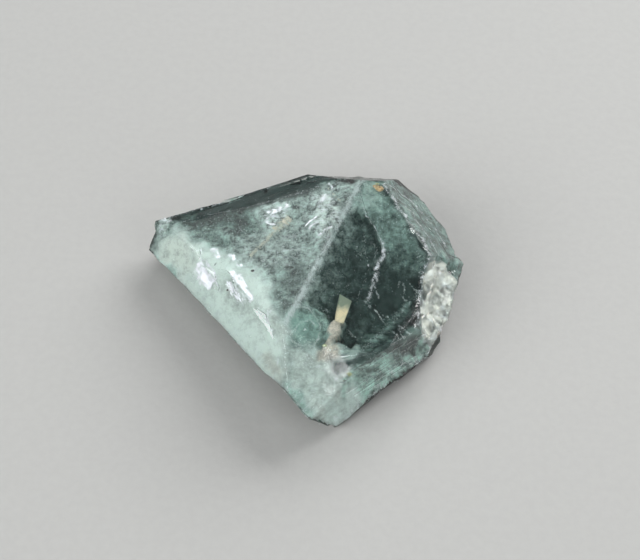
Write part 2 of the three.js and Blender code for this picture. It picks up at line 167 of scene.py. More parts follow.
RIM = [
    (3.7, 5.15), (4.2, 6.4), (7.2, 6.2), (8.1, 3.55), (8.5, 1.4), (8.1, 0.5), (7.3, 1.65), (6.3, 1.25),
    (5.7, 2.45), (4.4, 4.35),
]
SCAR = [
    (6.3, 1.2), (7.0, 1.75), (7.8, 1.3), (8.35, 0.15), (7.5, -1.65), (6.7, -2.6), (5.75, -2.6),
    (5.65, -2.1), (5.85, -0.1),
]
BACK_FLAKE = [(-4.3, 5.5), (-3.2, 5.7), (-3.4, 5.4), (-4.0, 5.1)]
BACK_STRIP = [
    (-5.6, 4.4), (-3.4, 4.5), (-1.3, 4.8), (0.2, 5.1), (1.6, 5.5), (1.2, 6.8), (-1.8, 6.3), (-4.0, 5.9),
    (-5.4, 5.3),
]


def hazy(outline, milk, depth, soft, mottle, tone=0.0, streak=0.0, flake=0.0):
    """A hazy place. milk goes from 0, clear, to 1, white, and thin milk just above clear is a dark
    sheet of painted shade. depth is how deep the haze starts and soft how wide its edge fades, both
    in mm. mottle is how patchy it is, tone goes from -1, sea green, to 1, rosy cream, streak is the
    share of it drawn out along the right front, and flake the share of it that glitters with white
    flakes."""
    return dict(outline=outline, milk=milk, depth=depth, soft=soft, mottle=mottle, tone=tone,
                streak=streak, flake=flake)


# Later ones lie over earlier ones. Rows with thin milk, such as the window and the back strip, lay a dark
# sheet of painted shade under clear crystal.
HAZE = [
    hazy(LEFT_TOP, 0.45, 0.4, 0.9, 1.1, -0.2, flake=0.25),
    hazy(BACK_SHADE, 0.2, 0.9, 0.9, 1.1, -0.8, flake=0.1),
    hazy(BACK_GREEN, 0.27, 0.7, 0.9, 1.1, -0.6),
    hazy(BACK_CORNER, 0.2, 0.9, 0.4, 1.0, -0.9),
    hazy(RIDGE_SHADE, 0.31, 0.7, 0.8, 1.0, -0.3, flake=0.1),
    hazy(RIDGE_DIM, 0.26, 0.6, 0.5, 1.0, -0.2, flake=0.1),
    hazy(RIDGE_HOLE, 0.13, 0.9, 0.5, 0.5, -0.3),
    hazy(MIDDLE, 0.38, 0.35, 0.9, 1.1, flake=0.4),
    hazy(WHITE_BACK, 0.58, 0.15, 0.7, 1.8, flake=0.9),
    hazy(WHITE_RIDGE, 0.5, 0.15, 0.7, 1.8, 0.1, flake=0.8),
    # Painted shade: a dark sheet under the back strip.
    hazy(BACK_STRIP, 0.11, 0.3, 0.3, 0.2, -0.9),
    hazy(UPPER_RIGHT, 0.31, 0.5, 0.4, 0.6, -0.6),
    hazy(UPPER_LOW, 0.21, 0.8, 2.0, 0.7, -0.6),
    hazy(RIDGE_HEAD, 0.52, 0.3, 0.7, 0.6, -0.4, flake=0.2),
    hazy(WINDOW_HEAD, 0.17, 0.9, 0.35, 1.3, -0.4, flake=0.2),
    hazy(WINDOW, 0.14, 1.0, 0.9, 1.3, -0.5, flake=0.15),
    hazy(SEAM_GLOW, 0.33, 0.3, 0.3, 0.8),
    hazy(WINDOW_LEFT, 0.25, 0.7, 0.7, 1.1, -0.1, flake=0.2),
    # Painted shade: a darker sheet in the window's right part.
    hazy(WINDOW_PAINTED_SHADE, 0.12, 1.0, 0.5, 0.12, -0.5),
    hazy(WINDOW_SMOKE, 0.24, 0.7, 0.4, 1.0),
    hazy(WINDOW_PUFF, 0.2, 0.8, 0.5, 1.0),
    hazy(CROSS_BAND, 0.28, 0.6, 0.6, 0.8, -0.8, streak=1.0),
    hazy(BAND, 0.16, 0.3, 0.4, 0.8, -0.8, streak=1.0),
    hazy(ARC_TOP, 0.38, 0.4, 0.3, 1.0, -0.6),
    hazy(SEAM_FOOT, 0.42, 0.3, 0.3, 0.8, -0.2),
    hazy(ARC_HAZE, 0.44, 0.4, 0.8, 0.5, -0.9),
    # The slope's white is partly milky haze and partly painted glow, where light comes out through the
    # lower left.
    hazy(LEFT_SLOPE, 0.98, 0.14, 1.1, 0.5, 0.12, flake=0.2),
    hazy(SLOPE_GREY, 0.7, 0.2, 0.8, 0.6, 0.15, flake=0.2),
    hazy(SLOPE_OLIVE, 0.7, 0.2, 0.4, 0.4, 0.4),
    hazy(LEFT_END, 0.92, 0.12, 0.8, 0.7, 0.25),
    hazy(LEFT_LIP, 0.72, 0.12, 0.3, 0.5, -0.6),
    hazy(END_CHIP, 0.74, 0.1, 0.2, 1.4, flake=1.0),
    hazy(TIP, 0.7, 0.2, 0.8, 0.6, 0.15, flake=0.2),
    hazy(TIP_LIP, 0.58, 0.12, 0.3, 0.5, -0.8),
    hazy(FRONT_RIGHT, 0.52, 0.15, 0.25, 0.8, -0.9, streak=1.0, flake=0.2),
    hazy(FOOT_HAZE, 0.27, 0.3, 0.3, 0.8, -0.3, streak=0.6, flake=0.2),
    hazy(TAN_HAZE, 0.6, 0.25, 0.4, 0.7, 1.0),
    hazy(TAN_TOP, 0.72, 0.15, 0.15, 0.8, 1.0),
    hazy(GREY_FOOT, 0.14, 0.35, 0.5, 0.8, streak=0.6, flake=0.2),
    hazy(PALE_FOOT, 0.46, 0.3, 0.4, 0.8, -0.3, streak=0.5),
    hazy(DARK_SPOT, 0.15, 0.4, 0.2, 0.6, -0.5),
    hazy(LOW_RIGHT, 0.21, 0.3, 0.3, 0.4, -1.0, streak=1.0),
    hazy(TIP_EDGE, 0.86, 0.12, 0.3, 0.6, streak=0.5),
    hazy(RIM, 0.28, 0.25, 0.3, 0.8, -0.8, flake=0.1),
    hazy(SCAR, 0.66, 0.05, 0.12, 2.2, 0.6, streak=0.3, flake=1.0),
    hazy(BACK_FLAKE, 0.45, 0.1, 0.15, 0.6, -0.6),
]

# Flecks in the haze, a cloud of them in each row: the outline, how many flecks in each square mm,
# their depth and size, the size of the clumps, the share that stays clear between the clumps, and
# for slim flecks the way they point, in degrees round from X.
CLOUDS = [
    (LEFT_SLOPE, 60, (0.0, 0.12), (0.05, 0.15), 0.9, 0.4, -58),
    (LEFT_TOP, 150, (0.03, 0.45), (0.04, 0.11), 0.35, 0.55),
    (WHITE_BACK, 300, (-0.02, 0.15), (0.05, 0.16), 0.4, 0.5, 35),
    (WHITE_RIDGE, 240, (-0.02, 0.15), (0.05, 0.16), 0.4, 0.55, 45),
    (UPPER_RIGHT, 60, (0.02, 0.5), (0.04, 0.16), 0.6, 0.4, 65),
    (WINDOW, 40, (0.05, 1.2), (0.03, 0.09), 0.4, 0.55),
    (FRONT_RIGHT, 120, (0.02, 0.2), (0.04, 0.1), 0.5, 0.4),
    (TIP, 150, (0.02, 0.2), (0.04, 0.12), 0.6, 0.4),
    (RIM, 110, (0.0, 0.1), (0.03, 0.09), 0.4, 0.5),
    (SCAR, 1400, (-0.02, 0.04), (0.02, 0.07), 0.2, 0.3),
    (BACK_STRIP, 10, (0.03, 0.4), (0.04, 0.1), 0.6, 0.6),
]


def line(path, half, flecks, depth, size=(0.03, 0.08), sway=0.05, bare=0.35, lie=0.7, slant=None):
    """A thin thing: its path, half its width in mm, how many flecks in each mm of it, the depth
    and size of the flecks, how far the path wanders, the share of it that is missing, how far in
    radians the flecks lean out of the surface, and which way slim ones point."""
    return dict(path=path, half=half, flecks=flecks, depth=depth, size=size, sway=sway, bare=bare,
                lie=lie, slant=slant)


# Seams and wisps of healed crystal, and white lines of painted highlight and glow.
VEILS_AND_PAINTED_HIGHLIGHTS = [
    # The milky seam along the ridge, wider at its head.
    line([(2.95, 5.3), (2.0, 3.3), (1.25, 1.7), (0.5, 0.15), (-0.2, -1.4), (-0.95, -2.85)], 0.16, 2600,
         (0.0, 0.05), (0.02, 0.05), sway=0.01, bare=0.0),
    line([(0.9, 0.95), (-0.15, -1.35), (-0.9, -2.85)], 0.3, 1100, (0.0, 0.1), (0.02, 0.06), sway=0.02,
         bare=0.0),
    line([(3.0, 5.3), (2.6, 4.55), (2.1, 3.45)], 0.3, 500, (0.02, 0.2), bare=0.1),
    # Arcs at the foot of the window.
    line([(-0.8, -2.75), (-0.7, -2.2), (-0.3, -1.9), (0.2, -1.95), (0.55, -2.35), (0.8, -2.85),
         (0.7, -3.45), (0.4, -3.8)], 0.05, 500, (0.02, 0.1), (0.02, 0.05), sway=0.02, bare=0.15),
    line([(-0.5, -3.15), (-0.2, -2.7), (0.3, -2.55), (0.55, -2.85)], 0.05, 400, (0.02, 0.1), (0.02, 0.05),
         sway=0.02, bare=0.15),
    line([(-0.7, -3.45), (-0.2, -3.75), (0.4, -3.8), (0.75, -3.45)], 0.05, 400, (0.02, 0.1), (0.02, 0.05),
         sway=0.02, bare=0.15),
    # A pale patch in the foot of the window.
    line([(1.85, -4.2), (1.9, -5.0)], 0.3, 90, (0.0, 0.08), (0.02, 0.07), bare=0.3),
    # Wisps hanging in the window.
    line([(3.1, 2.85), (2.9, 1.85), (3.1, 1.05), (3.2, 0.55)], 0.04, 70, (0.05, 0.4)),
    line([(2.5, 1.35), (2.8, 1.75), (3.0, 1.95)], 0.05, 130, (0.05, 0.4)),
    line([(2.4, 0.95), (2.8, 1.15), (3.0, 1.55)], 0.05, 110, (0.05, 0.4)),
    line([(3.2, 0.45), (2.9, -0.45), (2.5, -1.45)], 0.05, 60, (0.05, 0.5)),
    line([(3.4, 1.85), (3.6, 1.55), (3.5, 1.05)], 0.04, 90, (0.05, 0.4)),
    line([(0.8, -1.35), (1.2, -1.25), (1.7, -0.95), (2.3, -0.45)], 0.05, 80, (0.05, 0.4)),
    line([(0.7, -1.85), (1.1, -1.95), (1.3, -2.35)], 0.05, 130, (0.05, 0.4)),
    line([(2.0, -2.75), (2.3, -3.05), (2.5, -3.25)], 0.05, 150, (0.05, 0.4)),
    line([(4.6, -0.45), (4.8, -0.15), (5.0, -0.45), (4.9, -0.85)], 0.04, 150, (0.05, 0.3)),
    line([(4.7, -0.65), (4.9, -1.05), (5.2, -1.25)], 0.04, 130, (0.05, 0.3)),
    line([(5.1, -0.15), (5.5, -0.55), (5.6, -0.95)], 0.04, 150, (0.05, 0.3)),
    # Streaks across the lower right.
    line([(5.7, -0.55), (4.8, -1.65), (3.8, -2.85), (2.5, -4.05)], 0.16, 170, (0.1, 0.6)),
    line([(3.0, -1.45), (3.6, -1.85), (4.0, -2.55), (4.7, -3.25)], 0.03, 260, (0.02, 0.2)),
    line([(3.5, -1.75), (4.3, -2.25), (5.2, -2.95)], 0.03, 230, (0.02, 0.2)),
    line([(4.4, -2.55), (4.8, -2.95), (5.0, -3.15)], 0.03, 90, (0.02, 0.2)),
    line([(4.8, -3.15), (5.3, -2.85), (5.7, -2.15)], 0.05, 60, (0.02, 0.2)),
    line([(2.0, -5.85), (3.3, -4.85), (4.7, -3.65), (6.3, -2.65)], 0.05, 170, (0.01, 0.12)),
    line([(2.3, -5.35), (3.5, -4.45), (4.7, -3.45), (6.0, -2.55)], 0.06, 190, (0.01, 0.12)),
    line([(3.0, -4.75), (4.0, -4.05), (4.7, -3.45)], 0.04, 170, (0.01, 0.12)),
    # Painted highlights: a bright hem along the lower left edge, and a thin bright line along the lower
    # right edge.
    line([(-6.7, 2.05), (-5.9, 1.0), (-5.1, -0.05), (-4.2, -1.3), (-3.2, -2.5), (-2.3, -3.7), (-1.45, -4.8),
         (-0.8, -5.55), (-0.1, -6.2), (0.55, -6.65)], 0.3, 900, (0.0, 0.06), (0.02, 0.06), bare=0.2,
         lie=0.3),
    line([(1.1, -6.55), (1.8, -6.2), (2.55, -5.5), (3.55, -4.8), (4.8, -3.55), (5.65, -3.2), (6.3, -2.65),
         (6.8, -1.5)], 0.12, 700, (-0.03, 0.03), (0.02, 0.07), sway=0.02, bare=0.3, lie=0.3),
    # Strokes that carry the white slope over into the top: partly milky haze, partly painted glow.
    line([(-6.7, 3.4), (-5.4, 2.5), (-4.2, 1.7), (-3.0, 0.7), (-2.1, -0.25)], 0.5, 120, (0.0, 0.1),
         (0.05, 0.2), bare=0.45, lie=0.3, slant=-58),
]

# Cracks that open on the surface, white along their lips, and painted highlights where steps catch the
# light.
CRACKS_AND_PAINTED_HIGHLIGHTS = [
    # The step on the right top: its white line is partly the crack's own and partly a painted highlight on
    # the step's riser.
    line([(2.9, 3.65), (3.1, 3.25), (3.6, 2.55), (4.0, 1.55)], 0.03, 300, (0.0, 0.1), bare=0.2),
    line([(3.85, 1.9), (4.0, 1.55), (3.9, 0.95), (3.6, 0.55), (3.5, -0.35)], 0.12, 1300, (-0.01, 0.07),
         (0.02, 0.06), bare=0.05),
    line([(3.5, -0.35), (3.55, -0.75), (3.7, -1.2)], 0.05, 500, (0.0, 0.08), (0.02, 0.06), bare=0.3),
    line([(3.4, -0.25), (3.2, -1.05), (3.0, -1.45), (3.3, -1.65)], 0.09, 800, (0.0, 0.08), (0.02, 0.06),
         bare=0.1),
    line([(4.05, 5.2), (4.65, 5.3)], 0.05, 500, (0.0, 0.05)),
    # Painted highlights: white lines on the risers of the treads on the left slope.
    line([(-5.3, 2.3), (-5.3, 1.7)], 0.05, 500, (-0.04, 0.03)),
    line([(-4.6, 0.95), (-4.45, 0.45), (-4.3, 0.0)], 0.05, 500, (-0.04, 0.03)),
    line([(-3.65, 0.5), (-3.55, 0.05), (-3.35, -0.45)], 0.05, 500, (-0.04, 0.03)),
    line([(-2.3, -1.7), (-1.9, -2.1), (-1.7, -2.6), (-1.45, -3.25)], 0.05, 420, (-0.04, 0.03)),
    line([(4.05, 5.15), (4.45, 4.45), (4.9, 3.8), (5.4, 3.15), (5.75, 2.7), (6.1, 2.1), (6.4, 1.3)], 0.14,
         750, (-0.02, 0.06), (0.02, 0.07), sway=0.08, bare=0.3),
    line([(5.1, 4.3), (5.5, 4.2), (5.8, 3.75), (6.4, 2.8), (6.75, 1.9)], 0.06, 300, (-0.01, 0.06),
         sway=0.08),
    line([(4.7, 5.4), (5.2, 5.45), (5.7, 5.4), (6.1, 4.95), (6.7, 4.45), (7.05, 3.95), (7.4, 3.25)], 0.08,
         420, (-0.02, 0.06), (0.02, 0.07), sway=0.08),
    line([(6.3, 1.25), (5.9, 0.25), (5.8, -0.55), (5.7, -1.65), (5.6, -2.45)], 0.1, 450, (-0.02, 0.06),
         (0.02, 0.07), sway=0.08),
    line([(-7.2, 4.05), (-5.5, 4.35), (-3.4, 4.45), (-1.3, 4.7), (0.2, 5.0), (1.7, 5.4)], 0.025, 60,
         (0.0, 0.04)),
    line([(-7.2, 4.75), (-5.3, 5.1), (-4.0, 5.4), (-3.2, 5.6), (-2.4, 5.8), (-1.8, 5.9)], 0.03, 90,
         (0.0, 0.04)),
    line([(-5.5, 5.0), (-5.0, 5.2), (-4.4, 5.35)], 0.04, 260, (0.0, 0.05)),
    line([(0.5, 6.25), (1.1, 6.4), (1.7, 6.5)], 0.04, 200, (0.0, 0.05)),
]

# Painted glints: white flecks that lie nearly flat on the surface where cleavage flakes and steps catch the
# light in bright highlights.
PAINTED_GLINTS = [
    line([(-5.5, 1.55), (-5.2, 1.0), (-4.75, 0.35)], 0.26, 1100, (-0.06, 0.0), (0.08, 0.3), sway=0.0,
         bare=0.1, lie=0.12, slant=-54),
    line([(-4.95, 1.45), (-4.55, 0.7)], 0.06, 300, (-0.05, 0.02), (0.06, 0.2), lie=0.12, slant=-61),
    line([(-3.65, 0.6), (-3.2, -0.2), (-2.6, -1.2)], 0.12, 500, (-0.05, 0.02), (0.08, 0.3), sway=0.0,
         bare=0.15, lie=0.12, slant=-58),
    line([(-3.85, 0.15), (-3.5, -0.5), (-3.0, -1.15)], 0.16, 400, (-0.05, 0.02), (0.08, 0.3), sway=0.0,
         bare=0.35, lie=0.12, slant=-56),
    line([(-3.3, 0.35), (-2.85, -0.45)], 0.08, 300, (-0.05, 0.02), (0.06, 0.24), lie=0.12, slant=-58),
    line([(-3.8, 1.65), (-3.2, 0.85)], 0.1, 460, (-0.05, 0.03), (0.06, 0.22), lie=0.15, slant=-52),
    line([(-4.7, 2.2), (-4.3, 1.5)], 0.13, 420, (-0.04, 0.04), (0.06, 0.22), lie=0.15, slant=-62),
    line([(-2.05, 3.75), (-1.5, 4.0), (-0.9, 4.25)], 0.16, 560, (-0.05, 0.03), (0.06, 0.26), sway=0.02,
         lie=0.12, slant=28),
    line([(-2.0, 3.55), (-1.6, 3.75)], 0.08, 500, (-0.04, 0.04), (0.06, 0.2), lie=0.15, slant=22),
    line([(-2.15, 3.5), (-1.5, 3.15)], 0.06, 460, (-0.04, 0.04), (0.05, 0.2), lie=0.15, slant=-30),
    line([(0.0, 2.8), (0.55, 3.25)], 0.05, 420, (-0.03, 0.05), (0.06, 0.24), lie=0.15, slant=40),
    line([(0.15, 2.6), (0.6, 2.95)], 0.05, 260, (-0.03, 0.05), (0.05, 0.2), lie=0.15, slant=38),
    line([(0.7, 2.1), (1.35, 2.55)], 0.06, 380, (-0.03, 0.05), (0.06, 0.22), lie=0.15, slant=34),
    line([(0.75, 4.05), (1.1, 4.5)], 0.18, 420, (-0.03, 0.06), (0.05, 0.2), lie=0.2, slant=50),
    line([(1.2, 5.3), (1.4, 4.85)], 0.05, 420, (-0.02, 0.05), (0.03, 0.1)),
    line([(-7.7, 4.75), (-7.4, 4.85), (-7.2, 4.35)], 0.2, 520, (-0.02, 0.06), (0.04, 0.12)),
    line([(-1.8, -2.1), (-1.6, -2.05)], 0.12, 500, (-0.02, 0.05), (0.03, 0.1)),
    line([(0.55, -4.7), (0.7, -4.6)], 0.08, 500, (-0.02, 0.05), (0.03, 0.1)),
    line([(1.45, -5.3), (1.65, -5.2)], 0.1, 420, (-0.02, 0.05), (0.03, 0.1)),
    line([(-0.05, -3.1), (0.05, -3.05)], 0.06, 700, (-0.01, 0.05), (0.03, 0.08)),
    line([(-1.35, -4.3), (-1.2, -4.2)], 0.14, 420, (-0.02, 0.05), (0.04, 0.1)),
    line([(1.4, -6.25), (1.7, -5.85)], 0.14, 300, (-0.02, 0.05), (0.04, 0.1)),
    line([(3.15, 0.6), (3.25, 0.45)], 0.05, 700, (-0.01, 0.05), (0.03, 0.08)),
]

# Cream and yellow-green feathers.
FEATHERS = [
    line([(-0.75, 3.45), (-1.55, 2.8)], 0.24, 1700, (0.0, 0.03), (0.03, 0.09), bare=0.15, lie=0.3),
    line([(-1.45, 2.8), (-2.1, 2.1), (-2.75, 1.4)], 0.11, 1200, (0.0, 0.04), (0.03, 0.1), sway=0.02,
         bare=0.0, slant=47),
    line([(1.1, 5.1), (1.8, 4.05)], 0.05, 380, (0.0, 0.08), (0.04, 0.14), slant=-58),
    line([(1.7, -2.4), (1.6, -2.9), (1.4, -3.4)], 0.3, 500, (0.05, 0.25), (0.02, 0.06), bare=0.3),
]


# ---- sizes and colours --------------------------------------------------------------------


def linear(value):
    """An sRGB hex colour as the three linear numbers that a shader takes."""
    parts = [int(value[i : i + 2], 16) / 255 for i in (1, 3, 5)]
    return tuple(p / 12.92 if p <= 0.04045 else ((p + 0.055) / 1.055) ** 2.4 for p in parts)


def colour(name, description, value):
    """A colour that the user can change. It starts as an sRGB hex value."""
    return bpy.props.FloatVectorProperty(
        name=name, description=description, subtype="COLOR", default=linear(value)
    )


class CrystalBody(bpy.types.PropertyGroup):
    tint: colour("Tint", "What the surface lets through", "#F2FAF7")
    depth_colour: colour("Depth colour", "Colour that thick crystal turns light", "#84BCB2")
    density: bpy.props.FloatProperty(
        name="Density", description="How strongly the crystal absorbs, for each metre",
        default=260.0, min=0.0,
    )
    fine: bpy.props.FloatProperty(
        name="Fine relief", description="Height of the grain on a fracture",
        default=0.03 * MM, unit="LENGTH", precision=6,
    )


class CrystalInclusions(bpy.types.PropertyGroup):
    haze: colour("Haze", "Colour of the healed cracks", "#ECFAF6")
    green: colour("Green haze", "Colour of the haze where it is sea green", "#CEF7EB")
    rosy: colour("Rosy haze", "Colour of the haze where it is rosy cream", "#FBEDE0")
    # Painted shade: the dark that thin haze turns to, so that clear parts of the crystal look dark.
    painted_shade: colour("Gloom", "Colour of the haze where it is nearly clear", "#1D3432")
    # This colour also paints the highlights along the lower edges.
    veil_and_highlight: colour("Veil", "Colour of the seams and wisps", "#EBF4F4")
    # This white also paints the glints that catch the light.
    splinter_and_glint_white: colour("Crushed crystal", "Colour of the splinters", "#F6FAFF")
    cream: colour("Cream", "Colour of the cream grain", "#FBE9C6")
    dull_cream: colour("Dull cream", "Colour of the cream grain's head", "#8F9A88")
    feather: colour("Feather", "Colour of the cream feathers", "#EBE8D6")
    rust: colour("Rust", "Colour of the rusty grains", "#EDC79A")
    olive: colour("Olive", "Colour of the yellow-green grains", "#DDE3B4")
    dark: colour("Dark", "Colour of the dark specks", "#3A4440")


class CrystalStage(bpy.types.PropertyGroup):
    floor: colour("Floor", "Colour of the floor", "#939391")
    elevation: bpy.props.FloatProperty(
        name="Camera height", description="The camera's angle above the level",
        default=math.radians(58), subtype="ANGLE",
    )
    distance: bpy.props.FloatProperty(
        name="Camera distance", description="From the camera to the crystal",
        default=73.3 * MM, unit="LENGTH",
    )


# ---- materials ----------------------------------------------------------------------------

CRYSTAL_IOR = 1.6
STREAK_ANGLE = math.radians(38.7)  # of the right front edge, round from X
FLAKE_ANGLE = math.radians(52)  # of the slivers in the haze, round from X
HEAD_Y = (-2.0, -1.55)  # mm between which the cream grain turns dull

# A Mix node's input 0 is the share. Its numbers are inputs 2 and 3, its colours inputs 6 and 7, and
# the mixed colour is output 2.


def add(tree, kind, inputs=None, out=0, **settings):
    """A new node of that kind with its settings. Each input is given a plain value, or is linked
    when it is given another node's output. Gives back the new node's output out."""
    node = tree.nodes.new(kind)
    for name, value in settings.items():
        setattr(node, name, value)
    for name, value in (inputs or {}).items():
        if isinstance(value, bpy.types.NodeSocket):
            tree.links.new(value, node.inputs[name])
        else:
            node.inputs[name].default_value = value
    return node.outputs[out] if node.outputs else None


def per_metre(size_mm):
    """The texture scale that makes a feature size_mm wide."""
    return 1 / (size_mm * MM)


def rgba(value):
    return (*value, 1.0)


def shaded(value, share):
    return tuple(part * share for part in value)


def new_material(name):
    """A new material, its empty tree, and the place on the piece that its patterns read."""
    material = bpy.data.materials.new(name)
    material.use_nodes = True
    tree = material.node_tree
    tree.nodes.clear()
    return material, tree, add(tree, "ShaderNodeTexCoord", out="Object")


def opaque(tree, base, pattern, roughness, strength=0.5, fine_mm=0.02, ior=CRYSTAL_IOR):
    """Makes a tree's material opaque, with a relief up to fine_mm high that follows a pattern."""
    bump = add(tree, "ShaderNodeBump", {
        "Height": pattern, "Strength": strength, "Distance": fine_mm * MM,
    })
    shader = add(tree, "ShaderNodeBsdfPrincipled", {
        "Base Color": base, "Roughness": roughness, "IOR": ior, "Normal": bump,
    })
    add(tree, "ShaderNodeOutputMaterial", {"Surface": shader})


def clear_phosphophyllite(looks):
    """Clear zinc phosphate mineral, grown and cleaved: glassy, pale sea green, frosted where it
    broke. Attribute frost is 0 on a flat face and up to 1 on the roughest break."""
    material, tree, where = new_material("clear_phosphophyllite")
    frost = add(tree, "ShaderNodeAttribute", out="Fac", attribute_name="frost")
    # Smears in the polish, the grit of a break, and the low waves that the crystal grew in.
    smears, grit, growth = (
        add(tree, "ShaderNodeTexNoise", {
            "Vector": where, "Scale": per_metre(size_mm), "Detail": detail, "Roughness": gain,
        })
        for size_mm, detail, gain in ((0.9, 3.0, 0.5), (0.16, 4.0, 0.6), (0.6, 2.0, 0.5))
    )
    polish = add(tree, "ShaderNodeMapRange", {
        "Value": smears, "From Min": 0.35, "From Max": 0.7, "To Min": 0.02, "To Max": 0.09,
    })
    rough = add(tree, "ShaderNodeMath", {0: frost, 1: 0.34, 2: polish}, operation="MULTIPLY_ADD")
    height = add(tree, "ShaderNodeMath", {0: grit, 1: frost}, operation="MULTIPLY")
    both = add(tree, "ShaderNodeMath", {0: growth, 1: 0.06, 2: height}, operation="MULTIPLY_ADD")
    bump = add(tree, "ShaderNodeBump", {
        "Height": both, "Strength": 0.9, "Distance": 0.035 * MM,
    })
    shader = add(tree, "ShaderNodeBsdfPrincipled", {
        "Base Color": rgba(looks.tint), "Roughness": rough, "IOR": CRYSTAL_IOR,
        "Transmission Weight": 1.0, "Normal": bump,
    })
    inside = add(tree, "ShaderNodeVolumeAbsorption", {
        "Color": rgba(looks.depth_colour), "Density": looks.density,
    })
    add(tree, "ShaderNodeOutputMaterial", {"Surface": shader, "Volume": inside})
    return material


def mineral(name, base, shade, grain_mm, roughness):
    """An opaque mineral whose colour goes to shade in grains grain_mm wide."""
    material, tree, where = new_material(name)
    grain = add(tree, "ShaderNodeTexNoise", {
        "Vector": where, "Scale": per_metre(grain_mm), "Detail": 3.0,
    })
    share = add(tree, "ShaderNodeMapRange", {"Value": grain, "From Min": 0.35, "From Max": 0.65})
    mixed = add(tree, "ShaderNodeMix", {0: share, 6: rgba(base), 7: rgba(shade)}, 2, data_type="RGBA")
    opaque(tree, mixed, grain, roughness)
    return material


def milky_haze(looks):
    """Crystal so full of tiny healed cracks that it looks like milk. Its attributes are milk,
    mottle, green, rosy, streak and flake, each from 0 to 1."""
    material, tree, where = new_material("milky_haze")
    milk, mottle, green, rosy, streak, flake = (
        add(tree, "ShaderNodeAttribute", out="Fac", attribute_name=name)
        for name in ("milk", "mottle", "green", "rosy", "streak", "flake")
    )
    # Healed cracks branch like lace, are drawn out along the right front, and hold slivers.
    lace = add(tree, "ShaderNodeTexNoise", {
        "Vector": where, "Scale": per_metre(0.45), "Detail": 7.0, "Roughness": 0.82,
    })
    along, slant = (
        add(tree, "ShaderNodeMapping", {"Vector": where, "Rotation": (0, 0, -turn), "Scale": size})
        for turn, size in ((STREAK_ANGLE, (0.16, 1.0, 0.4)), (FLAKE_ANGLE, (0.4, 1.0, 0.6)))
    )
    drawn, slivers = (
        add(tree, "ShaderNodeTexNoise", {
            "Vector": vector, "Scale": per_metre(size_mm), "Detail": detail, "Roughness": 0.6,
        })
        for vector, size_mm, detail in ((along, 0.26, 4.0), (slant, 0.19, 3.0))
    )
    pattern = add(tree, "ShaderNodeMix", {0: streak, 2: lace, 3: drawn}, data_type="FLOAT")
    swing = add(tree, "ShaderNodeMapRange", {
        "Value": pattern, "From Min": 0.37, "From Max": 0.63, "To Min": -0.44, "To Max": 0.44,
    })
    level = add(
        tree, "ShaderNodeMath", {0: swing, 1: mottle, 2: milk}, operation="MULTIPLY_ADD",
        use_clamp=True,
    )
    bright = add(tree, "ShaderNodeMapRange", {"Value": slivers, "From Min": 0.55, "From Max": 0.66})
    glitter = add(tree, "ShaderNodeMath", {0: bright, 1: flake}, operation="MULTIPLY")
    base = rgba(looks.haze)
    for share, tone in ((green, looks.green), (rosy, looks.rosy)):
        base = add(tree, "ShaderNodeMix", {0: share, 6: base, 7: rgba(tone)}, 2, data_type="RGBA")
    # Thin haze turns to the painted shade colour, a dark sheet under the clear parts.
    base = add(tree, "ShaderNodeMix", {0: level, 6: rgba(looks.painted_shade), 7: base}, 2, data_type="RGBA")
    base = add(
        tree, "ShaderNodeMix", {0: glitter, 6: base, 7: rgba(looks.splinter_and_glint_white)}, 2, data_type="RGBA"
    )
    opaque(tree, base, pattern, 0.6, strength=0.4, fine_mm=0.03)
    return material


def cream_mineral(looks):
    """The cream grain: an opaque mineral, duller towards its head, that the crystal grew round."""
    material, tree, where = new_material("cream_mineral")
    height = add(tree, "ShaderNodeSeparateXYZ", {"Vector": where}, "Y")
    head = add(tree, "ShaderNodeMapRange", {
        "Value": height, "From Min": HEAD_Y[0] * MM, "From Max": HEAD_Y[1] * MM,
    })
    grain = add(tree, "ShaderNodeTexNoise", {
        "Vector": where, "Scale": per_metre(0.2), "Detail": 5.0, "Roughness": 0.7,
    })
    patchy = add(tree, "ShaderNodeMath", {0: grain, 1: 1.4, 2: head}, operation="MULTIPLY_ADD")
    share = add(tree, "ShaderNodeMapRange", {"Value": patchy, "From Min": 0.6, "From Max": 1.6})
    base = add(tree, "ShaderNodeMix", {
        0: share, 6: rgba(looks.cream), 7: rgba(looks.dull_cream),
    }, 2, data_type="RGBA")
    opaque(tree, base, grain, 0.5, ior=1.5)
    return material


# ---- the crystal's body -------------------------------------------------------------------

FLAT_ANGLE = math.radians(0.4)  # faces that meet flatter than this lie in one plane
FLAT_AREA = 0.5 * MM**2  # a plane at least this large is a grown or cleaved face
SHARP = math.radians(32)  # edges sharper than this stay crisp
CREASE = math.radians(24)  # broken faces that meet sharper than this are shaded apart
GRAIN_MM = 0.3  # from bump to bump on a broken face
WAVES_MM = 0.8  # from wave to wave on a broken face
PLAIN_BREAK = (0.45, 0.4)  # the grain and the frost of other breaks, where the scar's are 1


def only(item):
    """Leaves just this object selected and active."""
    bpy.ops.object.select_all(action="DESELECT")
    item.select_set(True)
    bpy.context.view_layer.objects.active = item


def finish_piece(item):
    """Sets a finished piece on the crystal's body, in its slot."""
    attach(item, BODY)


def new_shape(primitive, **settings):
    """A new object from one of the primitive operators, with nothing else selected."""
    bpy.ops.object.select_all(action="DESELECT")
    primitive(**settings)
    return bpy.context.object


def edit_all(mode="VERT"):
    """Goes to edit mode with everything selected."""
    bpy.ops.object.mode_set(mode="EDIT")
    bpy.ops.mesh.select_mode(type=mode)
    bpy.ops.mesh.select_all(action="SELECT")


